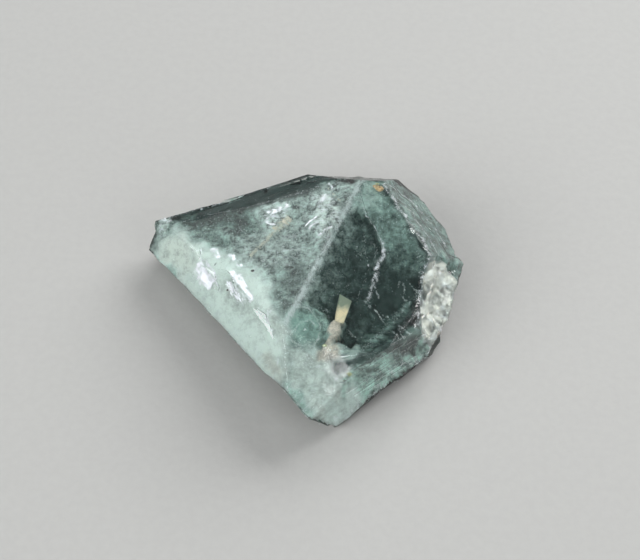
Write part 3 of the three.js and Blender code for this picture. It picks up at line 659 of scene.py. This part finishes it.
def edit_with(mesh, mode, chosen):
    """Goes to edit mode, in mode VERT or FACE, with just these vertices or faces selected."""
    edit_all(mode)
    bpy.ops.mesh.select_all(action="DESELECT")
    bpy.ops.object.mode_set(mode="OBJECT")
    (mesh.vertices if mode == "VERT" else mesh.polygons).foreach_set("select", chosen)
    bpy.ops.object.mode_set(mode="EDIT")


def place_on(item, rock, at, depth, turn=0.0):
    """Sets an item's middle depth mm under the surface at a place in mm, lying along the surface
    and turned on it, and applies its place."""
    place, normal = rock.top(*at)
    lean = UP.rotation_difference(normal) @ Euler((0, 0, turn)).to_quaternion()
    item.rotation_euler = lean.to_euler()
    item.location = place - normal * depth * MM
    only(item)
    bpy.ops.object.transform_apply()


def face_pairs(mesh):
    """For each edge between two faces: its ends, the two faces and the angle between them."""
    first = {}
    for face in mesh.polygons:
        for key in face.edge_keys:
            if key in first:
                other = mesh.polygons[first[key]]
                yield key, face.index, other.index, face.normal.angle(other.normal, math.pi)
            else:
                first[key] = face.index


def flat_regions(mesh):
    """For each face, True if it belongs to a large flat plane."""
    parent = list(range(len(mesh.polygons)))

    def root(i):
        while parent[i] != i:
            parent[i] = parent[parent[i]]
            i = parent[i]
        return i

    for _, one, other, angle in face_pairs(mesh):
        if angle < FLAT_ANGLE:
            parent[root(one)] = root(other)
    area = {}
    for face in mesh.polygons:
        area[root(face.index)] = area.get(root(face.index), 0) + face.area
    return [area[root(face.index)] > FLAT_AREA for face in mesh.polygons]


def inside_outline(outline, x, y):
    """True if the point lies inside the closed outline."""
    within = False
    for (ax, ay), (bx, by) in zip(outline, outline[1:] + outline[:1]):
        if (ay > y) != (by > y) and x < ax + (y - ay) * (bx - ax) / (by - ay):
            within = not within
    return within


def broken_weights(mesh, broken):
    """For each vertex, 1 if only broken faces meet there, else 0, and the same but 0 on the
    sharp edges too."""
    rough = np.ones(len(mesh.vertices))
    crisp = np.ones(len(mesh.vertices))
    for face in mesh.polygons:
        if not broken[face.index]:
            rough[list(face.vertices)] = 0
    for ends, _, _, angle in face_pairs(mesh):
        if angle > SHARP:
            crisp[list(ends)] = 0
    return rough, rough * crisp


def displace(item, group, size_mm, height, name):
    """Moves a group's vertices in and out by a noise size_mm wide and height metres high."""
    texture = bpy.data.textures.new(name, type="CLOUDS")
    texture.noise_scale = size_mm * MM
    texture.noise_depth = 2
    bpy.ops.object.modifier_add(type="DISPLACE")
    relief = item.modifiers[-1]
    relief.texture = texture
    relief.texture_coords = "LOCAL"
    relief.strength = height
    relief.mid_level = 0.5
    relief.vertex_group = group
    bpy.ops.object.modifier_apply(modifier=relief.name)


def make_body(sizes):
    """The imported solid's own shape, its broken faces cut finer, smoothed and given a grain."""
    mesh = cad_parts[NODE].data.copy()
    mesh.materials.clear()
    body = bpy.data.objects.new("crystal_body", mesh)
    bpy.context.scene.collection.objects.link(body)
    only(body)
    edit_all()
    bpy.ops.mesh.remove_doubles(threshold=0.001 * MM)
    bpy.ops.object.mode_set(mode="OBJECT")
    broken = [not flat for flat in flat_regions(mesh)]
    mark = mesh.attributes.new("broken", "BOOLEAN", "FACE")
    mark.data.foreach_set("value", broken)

    edit_with(mesh, "FACE", broken)
    bpy.ops.mesh.subdivide(number_cuts=2)
    bpy.ops.mesh.select_all(action="SELECT")
    bpy.ops.mesh.quads_convert_to_tris()
    bpy.ops.object.mode_set(mode="OBJECT")

    broken = np.zeros(len(mesh.polygons), bool)
    mesh.attributes["broken"].data.foreach_get("value", broken)
    rough, weight = broken_weights(mesh, broken)
    edit_with(mesh, "VERT", weight > 0)
    bpy.ops.mesh.vertices_smooth(factor=0.5, repeat=3)
    bpy.ops.object.mode_set(mode="OBJECT")

    scar = np.array([
        v.normal.z > 0.1 and inside_outline(SCAR, v.co.x / MM, v.co.y / MM) for v in mesh.vertices
    ])
    grain, frost = (np.where(scar, 1.0, beside) for beside in PLAIN_BREAK)
    group = body.vertex_groups.new(name="fine")
    for index in np.nonzero(weight)[0]:
        group.add([int(index)], float(weight[index] * grain[index]), "REPLACE")
    displace(body, "fine", GRAIN_MM, sizes.fine, "fracture grain")
    displace(body, "fine", WAVES_MM, 1.5 * sizes.fine, "fracture waves")
    body.vertex_groups.clear()

    frosted = mesh.attributes.new("frost", "FLOAT", "POINT")
    frosted.data.foreach_set("value", rough * frost)
    mesh.attributes.remove(mesh.attributes["broken"])
    only(body)
    bpy.ops.object.shade_smooth_by_angle(angle=CREASE)
    edit_with(mesh, "FACE", ~broken)
    bpy.ops.mesh.faces_shade_flat()
    bpy.ops.object.mode_set(mode="OBJECT")
    return body


class Rock:
    """The crystal's surface, to place things on it or below it."""

    STEEP = 0.35  # depths on steeper slopes are measured as if the normal's Z were this
    SKIN = 0.05  # mm: what lies deeper than this keeps clear of the sides
    CLEARANCE = 0.03  # mm from the sides
    FOOT = 0.05  # mm above the flat underside

    def __init__(self, body):
        mesh = body.data
        points = [v.co.copy() for v in mesh.vertices]
        self.tree = BVHTree.FromPolygons(points, [tuple(p.vertices) for p in mesh.polygons])
        self.low, self.high = CAD_BOX

    def top(self, x, y):
        """The top surface at a place in mm: its point and normal, in metres, or None."""
        start = Vector((x * MM, y * MM, self.high[2] + MM))
        place, normal, _, _ = self.tree.ray_cast(start, -UP)
        return (place, normal) if place else None

    def span(self, x, y):
        """The heights of the top and the bottom surface at a place, in metres, or None."""
        top = self.top(x, y)
        foot = self.tree.ray_cast(Vector((x * MM, y * MM, -MM)), UP)[0]
        return (top[0].z, foot.z) if top and foot else None

    def below(self, x, y, depth):
        """The place depth mm below the top surface and the normal there, or None outside."""
        top = self.top(x, y)
        if top is None:
            return None
        place, normal = top
        place = place - Vector((0, 0, depth * MM / max(normal.z, self.STEEP)))
        if place.z < self.FOOT * MM:
            return None
        if depth > self.SKIN and self.tree.find_nearest(place)[3] < self.CLEARANCE * MM:
            return None
        return place, normal


# ---- the haze -----------------------------------------------------------------------------

HAZE_CELL = 0.09  # mm between the points of the haze's surface
CLEAR_BELOW = 0.09  # milk thinner than this isn't there
# Thinner haze is darker, toward the painted shade colour.
FADE = 0.26  # how much more milk it takes until the haze is as white as its milk says
LUMPY = 0.3  # how uneven the depth of the haze is, and the milk of thin haze
WARP = 0.22  # how far in mm the edges of the hazy places wander
THINNEST = 0.1  # mm of crystal that haze needs
SHALLOW = 0.3  # haze starts no deeper than this share of the crystal's height there
SHEET = 0.05  # the share of the crystal below it that the thinnest haze fills
WHITE_SHEET = 0.8  # how much more of it white haze fills
WHITE = 0.8  # milk from which haze is at its thickest


def outline_offset(outline, xs, ys):
    """How far in mm each place is from the outline, below 0 inside it."""
    near = np.full(len(xs), np.inf)
    within = np.zeros(len(xs), bool)
    for (ax, ay), (bx, by) in zip(outline, outline[1:] + outline[:1]):
        along = (bx - ax) ** 2 + (by - ay) ** 2
        share = np.clip(((xs - ax) * (bx - ax) + (ys - ay) * (by - ay)) / along, 0, 1)
        off = np.hypot(xs - ax - share * (bx - ax), ys - ay - share * (by - ay))
        near = np.minimum(near, off)
        if ay != by:
            beside = xs < ax + (ys - ay) * (bx - ax) / (by - ay)
            within ^= ((ay > ys) != (by > ys)) & beside
    return np.where(within, -near, near)


def waves(xs, ys, size, height):
    """A smooth noise from about -1 to 1 at each place, with waves size mm wide."""
    return np.array([
        noise.fractal(Vector((x / size, y / size, height)), 0.9, 2.0, 3) for x, y in zip(xs, ys)
    ])


def haze_map(xs, ys):
    """What the haze is like at each place: arrays of milk, depth, mottle, tone, streak and
    flake."""
    warped_x = xs + WARP * waves(xs, ys, 0.7, 2.1)
    warped_y = ys + WARP * waves(xs, ys, 0.7, 8.4)
    found = {"milk": 0.0, "depth": 1.0, "mottle": 0.5, "tone": 0.0, "streak": 0.0, "flake": 0.0}
    found = {key: np.full(len(xs), value) for key, value in found.items()}
    for place in HAZE:
        off = outline_offset(place["outline"], warped_x, warped_y)
        share = np.clip(0.5 - off / place["soft"], 0, 1)
        share = share * share * (3 - 2 * share)
        for key, values in found.items():
            values += share * (place[key] - values)
    lumps = waves(xs, ys, 0.5, 1.3)
    found["depth"] *= 1 + LUMPY * lumps
    found["milk"] *= 1 + LUMPY * lumps * np.clip(1.4 - 2 * found["milk"], 0, 1)
    return found


def haze_heights(rock, found, xs, ys):
    """The height in metres of the haze's upper and lower side at each place, and whether there
    is any haze."""
    upper, lower = np.zeros(len(xs)), np.zeros(len(xs))
    there = found["milk"] > CLEAR_BELOW
    for i in np.nonzero(there)[0]:
        span = rock.span(xs[i], ys[i])
        if span is None or span[0] - span[1] < THINNEST * MM:
            there[i] = False
            continue
        top, foot = span
        upper[i] = top - min(found["depth"][i] * MM, SHALLOW * (top - foot))
        share = SHEET + WHITE_SHEET * min(1, found["milk"][i] / WHITE) ** 2
        lower[i] = upper[i] - share * (upper[i] - foot)
    return upper, lower, there


def make_haze(rock, material):
    """The milky insides: a sheet under the surface, thin where the crystal is nearly clear and
    deep where it is white. Where it is thin it is dark, a sheet of painted shade."""
    size = (rock.high - rock.low) / MM
    columns, rows = int(size[0] / HAZE_CELL), int(size[1] / HAZE_CELL)
    item = new_shape(
        bpy.ops.mesh.primitive_grid_add, x_subdivisions=columns, y_subdivisions=rows, size=1
    )
    item.name = "milky_haze"
    edit_all()
    bpy.ops.transform.resize(value=(size[0] * MM, size[1] * MM, 1))
    bpy.ops.object.mode_set(mode="OBJECT")
    mesh = item.data
    xs = np.array([v.co.x / MM for v in mesh.vertices])
    ys = np.array([v.co.y / MM for v in mesh.vertices])
    found = haze_map(xs, ys)
    upper, lower, there = haze_heights(rock, found, xs, ys)
    # Thin haze is darkened toward the painted shade colour.
    shown = np.clip((found["milk"] - CLEAR_BELOW) / FADE, 0, 1)
    values = {
        "milk": shown * found["milk"], "mottle": shown * found["mottle"],
        "streak": found["streak"], "flake": shown * found["flake"],
        "green": np.maximum(0, -found["tone"]), "rosy": np.maximum(0, found["tone"]),
        "upper": upper, "lower": lower,
    }
    for name, numbers in values.items():
        level = mesh.attributes.new(name, "FLOAT", "POINT")
        level.data.foreach_set("value", numbers)
    edit_with(mesh, "FACE", [not all(there[list(face.vertices)]) for face in mesh.polygons])
    bpy.ops.mesh.delete(type="FACE")
    bpy.ops.mesh.select_all(action="SELECT")
    bpy.ops.mesh.extrude_region_move(TRANSFORM_OT_translate={"value": (0, 0, -1)})
    bpy.ops.object.mode_set(mode="OBJECT")
    levels = {side: mesh.attributes[side].data for side in ("upper", "lower")}
    for v in mesh.vertices:
        v.co.z = levels["lower" if v.co.z < -0.5 else "upper"][v.index].value
    for side in ("upper", "lower"):
        mesh.attributes.remove(mesh.attributes[side])
    mesh.materials.append(material)
    only(item)
    bpy.ops.object.transform_apply()
    edit_all()
    bpy.ops.mesh.normals_make_consistent(inside=False)
    bpy.ops.object.mode_set(mode="OBJECT")
    bpy.ops.object.shade_smooth()
    return item


# ---- grains -------------------------------------------------------------------------------

# Rounded grains: place, depth to the top of it, size along X, Y and Z, all in mm, and its stuff.
GRAINS = [
    ((3.8, 4.85), 0.05, (0.4, 0.34, 0.14), "rust"),
    ((3.6, 4.97), 0.08, (0.26, 0.2, 0.12), "rust"),
    ((3.7, 5.1), 0.02, (0.2, 0.12, 0.1), "olive"),
    ((2.15, -5.1), 0.06, (0.22, 0.2, 0.14), "olive"),
    ((-2.62, 0.52), 0.02, (0.17, 0.14, 0.1), "dark"),
    ((-0.65, 0.4), 0.05, (0.2, 0.12, 0.1), "dark"),
    ((-3.9, -0.2), 0.02, (0.12, 0.1, 0.08), "dark"),
    ((1.0, -3.8), 0.05, (0.2, 0.14, 0.1), "olive"),
]

# The cream grain, in mm.
CREAM_AT = (1.87, -1.91)
CREAM_SIZE = (0.46, 1.3, 0.3)  # its width at its foot, its length and its thickness
CREAM_WIDEN = (1.22, 0.22)  # its width in its middle beside its foot's, and what its head adds
CREAM_SLANT = 0.16  # of its head
CREAM_DEPTH = 0.08
CREAM_TURN = math.radians(-13.7)
CREAM_BEVEL = 0.02
CREAM_ROUGH = ((0.04, 2.5), (0.06, 1.9), (0.05, 1.5))  # height and bumps in each mm, on X, Y and Z


def make_grains(rock, stuffs):
    """Copies of one rounded, lumpy pebble 1 mm across, each sized and set in place."""
    pebble = new_shape(bpy.ops.mesh.primitive_ico_sphere_add, subdivisions=3, radius=0.5 * MM)
    displace(pebble, "", 0.35, 0.3 * MM, "pebble")
    bpy.ops.object.shade_smooth()
    for index, (at, depth, size, stuff) in enumerate(GRAINS):
        item = pebble.copy()
        item.data = pebble.data.copy()
        bpy.context.scene.collection.objects.link(item)
        item.name = f"grain_{stuff}_{index + 1}"
        item.scale = size
        item.data.materials.append(stuffs[stuff])
        place_on(item, rock, at, depth + 0.5 * size[2])
        finish_piece(item)
    bpy.data.objects.remove(pebble)


def make_cream_grain(rock, material):
    """The cream grain: a flat wedge with a slanting head, just under the window."""
    grain = new_shape(bpy.ops.mesh.primitive_cube_add, size=1)
    grain.name = "cream_grain"
    edit_all()
    bpy.ops.transform.resize(value=[side * MM for side in CREAM_SIZE])
    bpy.ops.mesh.subdivide(number_cuts=3)
    bpy.ops.object.mode_set(mode="OBJECT")
    for v in grain.data.vertices:
        along = v.co.y / (0.5 * CREAM_SIZE[1] * MM)
        v.co.x *= CREAM_WIDEN[0] + CREAM_WIDEN[1] * along
        v.co.y -= CREAM_SLANT * v.co.x * (1 + along)
        for axis, (height, often) in enumerate(CREAM_ROUGH):
            v.co[axis] += height * MM * noise.noise(v.co * often / MM)
    edit_all("EDGE")
    bpy.ops.mesh.select_all(action="DESELECT")
    bpy.ops.mesh.edges_select_sharp(sharpness=math.radians(40))
    bpy.ops.mesh.bevel(offset=CREAM_BEVEL * MM, segments=1, affect="EDGES")
    bpy.ops.object.mode_set(mode="OBJECT")
    grain.data.materials.append(material)
    place_on(grain, rock, CREAM_AT, CREAM_DEPTH + 0.5 * CREAM_SIZE[2], CREAM_TURN)
    return grain


# ---- scattering flecks --------------------------------------------------------------------

FLECK_SHAPE = (1.0, 0.55, 0.6)  # how the cone that a fleck starts as is stretched
FLECK_TIP = 0.18  # how far its tip is off to one side
STRAY = 0.18  # mm that flecks stray over their cloud's outline
SHALLOW_BIAS = 1.4  # above 1, more of the flecks lie near the top of their depth
SLIM = 0.4  # how wide a slim fleck is beside a plain one
SLIM_SPREAD = 0.2  # radians that slim flecks point to either side
LIE, SLIM_LIE = 0.9, 0.3  # radians that a cloud's plain and slim flecks lean out of the surface
PATH_CLUMP = 0.2  # mm, the size of the clumps along a path
WANDER_SIZE = 0.25  # mm, the length of the bends that a path wanders in
WANDER_SEED = 1
CLOUD_SEED, VEIL_AND_HIGHLIGHT_SEED, FEATHER_SEED, CRACK_AND_HIGHLIGHT_SEED, PAINTED_GLINT_SEED = 40, 80, 180, 120, 150


def fleck_shape():
    """One fleck: a thin flat sliver with four faces, 1 unit long, as its points and faces."""
    sliver = new_shape(bpy.ops.mesh.primitive_cone_add, vertices=3, radius1=0.5, depth=0.3)
    edit_all()
    bpy.ops.transform.resize(value=FLECK_SHAPE)
    bpy.ops.object.mode_set(mode="OBJECT")
    tip = max(sliver.data.vertices, key=lambda v: v.co.z)
    tip.co.x += FLECK_TIP
    points = np.array([v.co[:] for v in sliver.data.vertices])
    faces = np.array([p.vertices[:] for p in sliver.data.polygons])
    bpy.data.objects.remove(sliver)
    return points, faces


def join_flecks(name, flecks, material):
    """One mesh of many copies of the fleck. Each fleck is its place, turn and size."""
    points, faces = fleck_shape()
    places, turns, sizes = (np.array(part) for part in zip(*flecks))
    copies = np.einsum("nij,nkj->nki", turns, points[None] * sizes[:, None, :])
    copies += places[:, None, :]
    corners = faces[None] + np.arange(len(flecks))[:, None, None] * len(points)
    mesh = bpy.data.meshes.new(name)
    mesh.from_pydata(copies.reshape(-1, 3), [], corners.reshape(-1, 3).tolist())
    mesh.materials.append(material)
    item = bpy.data.objects.new(name, mesh)
    bpy.context.scene.collection.objects.link(item)
    finish_piece(item)


def clumped(x, y, size, bare):
    """How likely a fleck is kept at a place, so that clouds gather in clumps."""
    value = noise.fractal(Vector((x / size, y / size, 3.7)), 0.7, 2.0, 4)
    return min(1.0, max(0.0, 0.9 * value + 0.75 - bare))


def fleck_at(rock, draw, x, y, depth, size, lie, slant):
    """A fleck below a place, or None if it doesn't fit. It leans out of the surface by about lie
    radians. slant is the way that slim ones point, in degrees round from X, or None."""
    low, high = depth
    found = rock.below(x, y, low + (high - low) * draw.random() ** SHALLOW_BIAS)
    if found is None:
        return None
    place, normal = found
    spin, width = draw.uniform(0, 2 * math.pi), draw.uniform(0.5, 1.0)
    if slant is not None:
        spin, width = math.radians(slant) + draw.gauss(0, SLIM_SPREAD), SLIM * width
    lean = Euler((draw.gauss(0, lie), draw.gauss(0, lie), spin))
    turn = UP.rotation_difference(normal).to_matrix() @ lean.to_matrix()
    length = draw.uniform(*size) * MM
    return place, turn, (length, length * width, length * width * draw.uniform(0.3, 0.9))


def flecks_in(rock, draw, outline, flecks, depth, size, clump, bare, slant=None):
    """The flecks of one cloud."""
    xs, ys = zip(*outline)
    low, high = (min(xs), min(ys)), (max(xs), max(ys))
    lie = LIE if slant is None else SLIM_LIE
    made = []
    for _ in range(int(flecks * (high[0] - low[0]) * (high[1] - low[1]))):
        x, y = draw.uniform(low[0], high[0]), draw.uniform(low[1], high[1])
        stray_x, stray_y = draw.gauss(0, STRAY), draw.gauss(0, STRAY)
        if not inside_outline(outline, x, y):
            continue
        x, y = x + stray_x, y + stray_y
        if draw.random() > clumped(x, y, clump, bare):
            continue
        made.append(fleck_at(rock, draw, x, y, depth, size, lie, slant))
    return [fleck for fleck in made if fleck]


def flecks_along(rock, draw, path, half, flecks, depth, size, sway, bare, lie, slant):
    """The flecks along one path."""
    made = []
    for (ax, ay), (bx, by) in zip(path, path[1:]):
        length = math.hypot(bx - ax, by - ay)
        for _ in range(int(flecks * length)):
            share, off = draw.random(), draw.gauss(0, 0.5) * half
            x, y = ax + share * (bx - ax), ay + share * (by - ay)
            aside = noise.noise_vector(Vector((x, y, 0)) / WANDER_SIZE)
            x += sway * 2 * aside.x - off * (by - ay) / length
            y += sway * 2 * aside.y + off * (bx - ax) / length
            if draw.random() > clumped(x, y, PATH_CLUMP, bare):
                continue
            made.append(fleck_at(rock, draw, x, y, depth, size, lie, slant))
    return [fleck for fleck in made if fleck]


# ---- operators ----------------------------------------------------------------------------

ROCK = {}  # the surface of the finished body, kept for the operators that place things in it


def make_lines(name, lines, seed, stuff):
    """One piece of all the flecks along some lines."""
    noise.seed_set(WANDER_SEED)
    flecks = []
    for index, settings in enumerate(lines):
        flecks += flecks_along(ROCK["surface"], random.Random(seed + index), **settings)
    join_flecks(name, flecks, stuff)


class CRYSTAL_OT_body(bpy.types.Operator):
    """Make the crystal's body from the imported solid"""

    bl_idname = "crystal.body"
    bl_label = "Crystal body"

    def execute(self, context):
        looks = context.scene.crystal_body
        body = make_body(looks)
        body.data.materials.append(clear_phosphophyllite(looks))
        ROCK["surface"] = Rock(body)
        finish_piece(body)
        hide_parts(NODE)
        return {"FINISHED"}


class CRYSTAL_OT_haze(bpy.types.Operator):
    """Make the milky insides"""

    bl_idname = "crystal.haze"
    bl_label = "Milky haze"

    def execute(self, context):
        milk = milky_haze(context.scene.crystal_inclusions)
        finish_piece(make_haze(ROCK["surface"], milk))
        return {"FINISHED"}


class CRYSTAL_OT_clouds(bpy.types.Operator):
    """Fill the milky parts of the crystal with clouds of tiny healed cracks"""

    bl_idname = "crystal.clouds"
    bl_label = "Clouds of flecks"

    def execute(self, context):
        looks = context.scene.crystal_inclusions
        stuff = mineral("healed_crack", looks.splinter_and_glint_white, looks.haze, 0.3, 0.3)
        for index, cloud in enumerate(CLOUDS):
            flecks = flecks_in(ROCK["surface"], random.Random(CLOUD_SEED + index), *cloud)
            join_flecks(f"flecks_{index + 1}", flecks, stuff)
        return {"FINISHED"}


class CRYSTAL_OT_veils(bpy.types.Operator):
    """Lay the milky seams, the arcs, the wisps, the painted highlights and glow, and the cream feathers"""

    bl_idname = "crystal.veils"
    bl_label = "Veils"

    def execute(self, context):
        looks = context.scene.crystal_inclusions
        veil_and_highlight = mineral("healed_veil_and_painted_highlight", looks.veil_and_highlight, shaded(looks.veil_and_highlight, 0.9), 0.3, 0.35)
        make_lines("milky_veils_and_painted_highlights", VEILS_AND_PAINTED_HIGHLIGHTS, VEIL_AND_HIGHLIGHT_SEED, veil_and_highlight)
        cream = mineral("stained_veil", looks.feather, shaded(looks.feather, 0.8), 0.3, 0.5)
        make_lines("cream_feathers", FEATHERS, FEATHER_SEED, cream)
        return {"FINISHED"}


class CRYSTAL_OT_cracks(bpy.types.Operator):
    """Whiten the open cracks, and paint the glints and step highlights as white flecks"""

    bl_idname = "crystal.cracks"
    bl_label = "Cracks and splinters"

    def execute(self, context):
        white = context.scene.crystal_inclusions.splinter_and_glint_white
        stuff = mineral("crushed_phosphophyllite_and_painted_glints", white, shaded(white, 0.9), 0.2, 0.3)
        make_lines("white_cracks_and_painted_highlights", CRACKS_AND_PAINTED_HIGHLIGHTS, CRACK_AND_HIGHLIGHT_SEED, stuff)
        make_lines("painted_glint_flecks", PAINTED_GLINTS, PAINTED_GLINT_SEED, stuff)
        return {"FINISHED"}


class CRYSTAL_OT_grains(bpy.types.Operator):
    """Set the grains of other minerals"""

    bl_idname = "crystal.grains"
    bl_label = "Grains"

    def execute(self, context):
        looks = context.scene.crystal_inclusions
        make_grains(ROCK["surface"], {
            "rust": mineral("rusty_limonite", looks.rust, shaded(looks.rust, 0.5), 0.15, 0.7),
            "olive": mineral("yellow_green_grain", looks.olive, shaded(looks.olive, 0.6), 0.2, 0.6),
            "dark": mineral("dark_sulphide", looks.dark, shaded(looks.dark, 0.5), 0.2, 0.4),
        })
        finish_piece(make_cream_grain(ROCK["surface"], cream_mineral(looks)))
        return {"FINISHED"}


class CRYSTAL_OT_stage(bpy.types.Operator):
    """Set the floor, the lights and the camera"""

    bl_idname = "crystal.stage"
    bl_label = "Stage"

    def execute(self, context):
        stage = context.scene.crystal_stage
        floor = make_floor(stage)
        for light in LIGHTS:
            add_light(**light)
        add_camera(stage)
        set_world()
        context.scene.view_settings.view_transform = "Standard"
        return {"FINISHED"}


# ---- the stage ----------------------------------------------------------------------------

LOOK_AT = Vector((0.764, 1.279, 2.0)) * MM  # what the camera and the lamps aim at
LENS = 80  # mm
SENSOR = 36  # mm
FLOOR_SIZE = 900  # mm
FLOOR_GAP = 0.03  # mm below the crystal, so that the two never touch
ROOM_COLOUR = "#DDE3E6"
ROOM_BRIGHT = 0.3

# Soft boxes: direction round from +X and height in degrees, distance and size in mm, and how
# bright each square metre of it is.
LIGHTS = [
    dict(name="key", looks=48, height=34, distance=300, size=(250, 180), bright=9.8),
    dict(name="sky", looks=-90, height=84, distance=320, size=(200, 160), bright=1.8),
    dict(name="left_back", looks=128, height=46, distance=300, size=(170, 120), bright=1.0),
    dict(name="left_front", looks=-150, height=35, distance=300, size=(250, 190), bright=6.4),
    dict(name="right_front", looks=-40, height=30, distance=300, size=(250, 190), bright=2.4),
]


def standing(looks, height, distance):
    """The place at a distance in metres from the crystal, looks degrees round from X and height
    degrees up, and the turn that faces the crystal from there."""
    across, lift = math.radians(looks), math.radians(height)
    out = Vector((
        math.cos(lift) * math.cos(across), math.cos(lift) * math.sin(across), math.sin(lift)
    ))
    return dict(location=LOOK_AT + out * distance, rotation=out.to_track_quat("Z", "Y").to_euler())


def add_light(name, looks, height, distance, size, bright):
    bpy.ops.object.light_add(type="AREA", **standing(looks, height, distance * MM))
    bpy.context.object.name = name
    lamp = bpy.context.object.data
    lamp.shape = "RECTANGLE"
    lamp.size = size[0] * MM
    lamp.size_y = size[1] * MM
    lamp.energy = bright * math.pi * size[0] * size[1] * MM**2


def add_camera(stage):
    bpy.ops.object.camera_add(**standing(-90, math.degrees(stage.elevation), stage.distance))
    camera = bpy.context.object
    camera.name = "camera"
    camera.data.lens = LENS
    camera.data.sensor_width = SENSOR
    camera.data.clip_start = 1 * MM
    camera.data.clip_end = 10
    bpy.context.scene.camera = camera


def make_floor(stage):
    """A plain sheet of pale card, just below the crystal."""
    floor = new_shape(
        bpy.ops.mesh.primitive_plane_add, size=FLOOR_SIZE * MM, location=(0, 0, -FLOOR_GAP * MM)
    )
    floor.name = "floor"
    bpy.ops.object.transform_apply()
    card = mineral("pale_card", stage.floor, shaded(stage.floor, 0.97), 0.4, 0.8)
    floor.data.materials.append(card)
    return floor


def set_world():
    world = bpy.data.worlds.new("studio")
    world.use_nodes = True
    background = world.node_tree.nodes["Background"]
    background.inputs["Color"].default_value = rgba(linear(ROOM_COLOUR))
    background.inputs["Strength"].default_value = ROOM_BRIGHT
    bpy.context.scene.world = world


class CRYSTAL_PT_panel(bpy.types.Panel):
    """Lists the steps"""

    bl_idname = "CRYSTAL_PT_panel"
    bl_label = "Phosphophyllite crystal"
    bl_space_type = "VIEW_3D"
    bl_region_type = "UI"
    bl_category = "Crystal"

    def draw(self, context):
        scene = context.scene
        for group in (scene.crystal_body, scene.crystal_inclusions, scene.crystal_stage):
            for name in group.__annotations__:
                self.layout.prop(group, name)
        for step in STEPS:
            self.layout.operator(step.bl_idname)


STEPS = (
    CRYSTAL_OT_body, CRYSTAL_OT_haze, CRYSTAL_OT_clouds, CRYSTAL_OT_veils,
    CRYSTAL_OT_cracks, CRYSTAL_OT_grains, CRYSTAL_OT_stage,
)
CLASSES = (CrystalBody, CrystalInclusions, CrystalStage, *STEPS, CRYSTAL_PT_panel)


def register():
    for item in CLASSES:
        bpy.utils.register_class(item)
    bpy.types.Scene.crystal_body = bpy.props.PointerProperty(type=CrystalBody)
    bpy.types.Scene.crystal_inclusions = bpy.props.PointerProperty(type=CrystalInclusions)
    bpy.types.Scene.crystal_stage = bpy.props.PointerProperty(type=CrystalStage)


def unregister():
    del bpy.types.Scene.crystal_stage
    del bpy.types.Scene.crystal_inclusions
    del bpy.types.Scene.crystal_body
    for item in reversed(CLASSES):
        bpy.utils.unregister_class(item)


def main():
    register()
    bpy.ops.crystal.stage()
    bpy.ops.crystal.body()
    bpy.ops.crystal.haze()
    bpy.ops.crystal.clouds()
    bpy.ops.crystal.veils()
    bpy.ops.crystal.cracks()
    bpy.ops.crystal.grains()


if __name__ == "__main__":
    main()
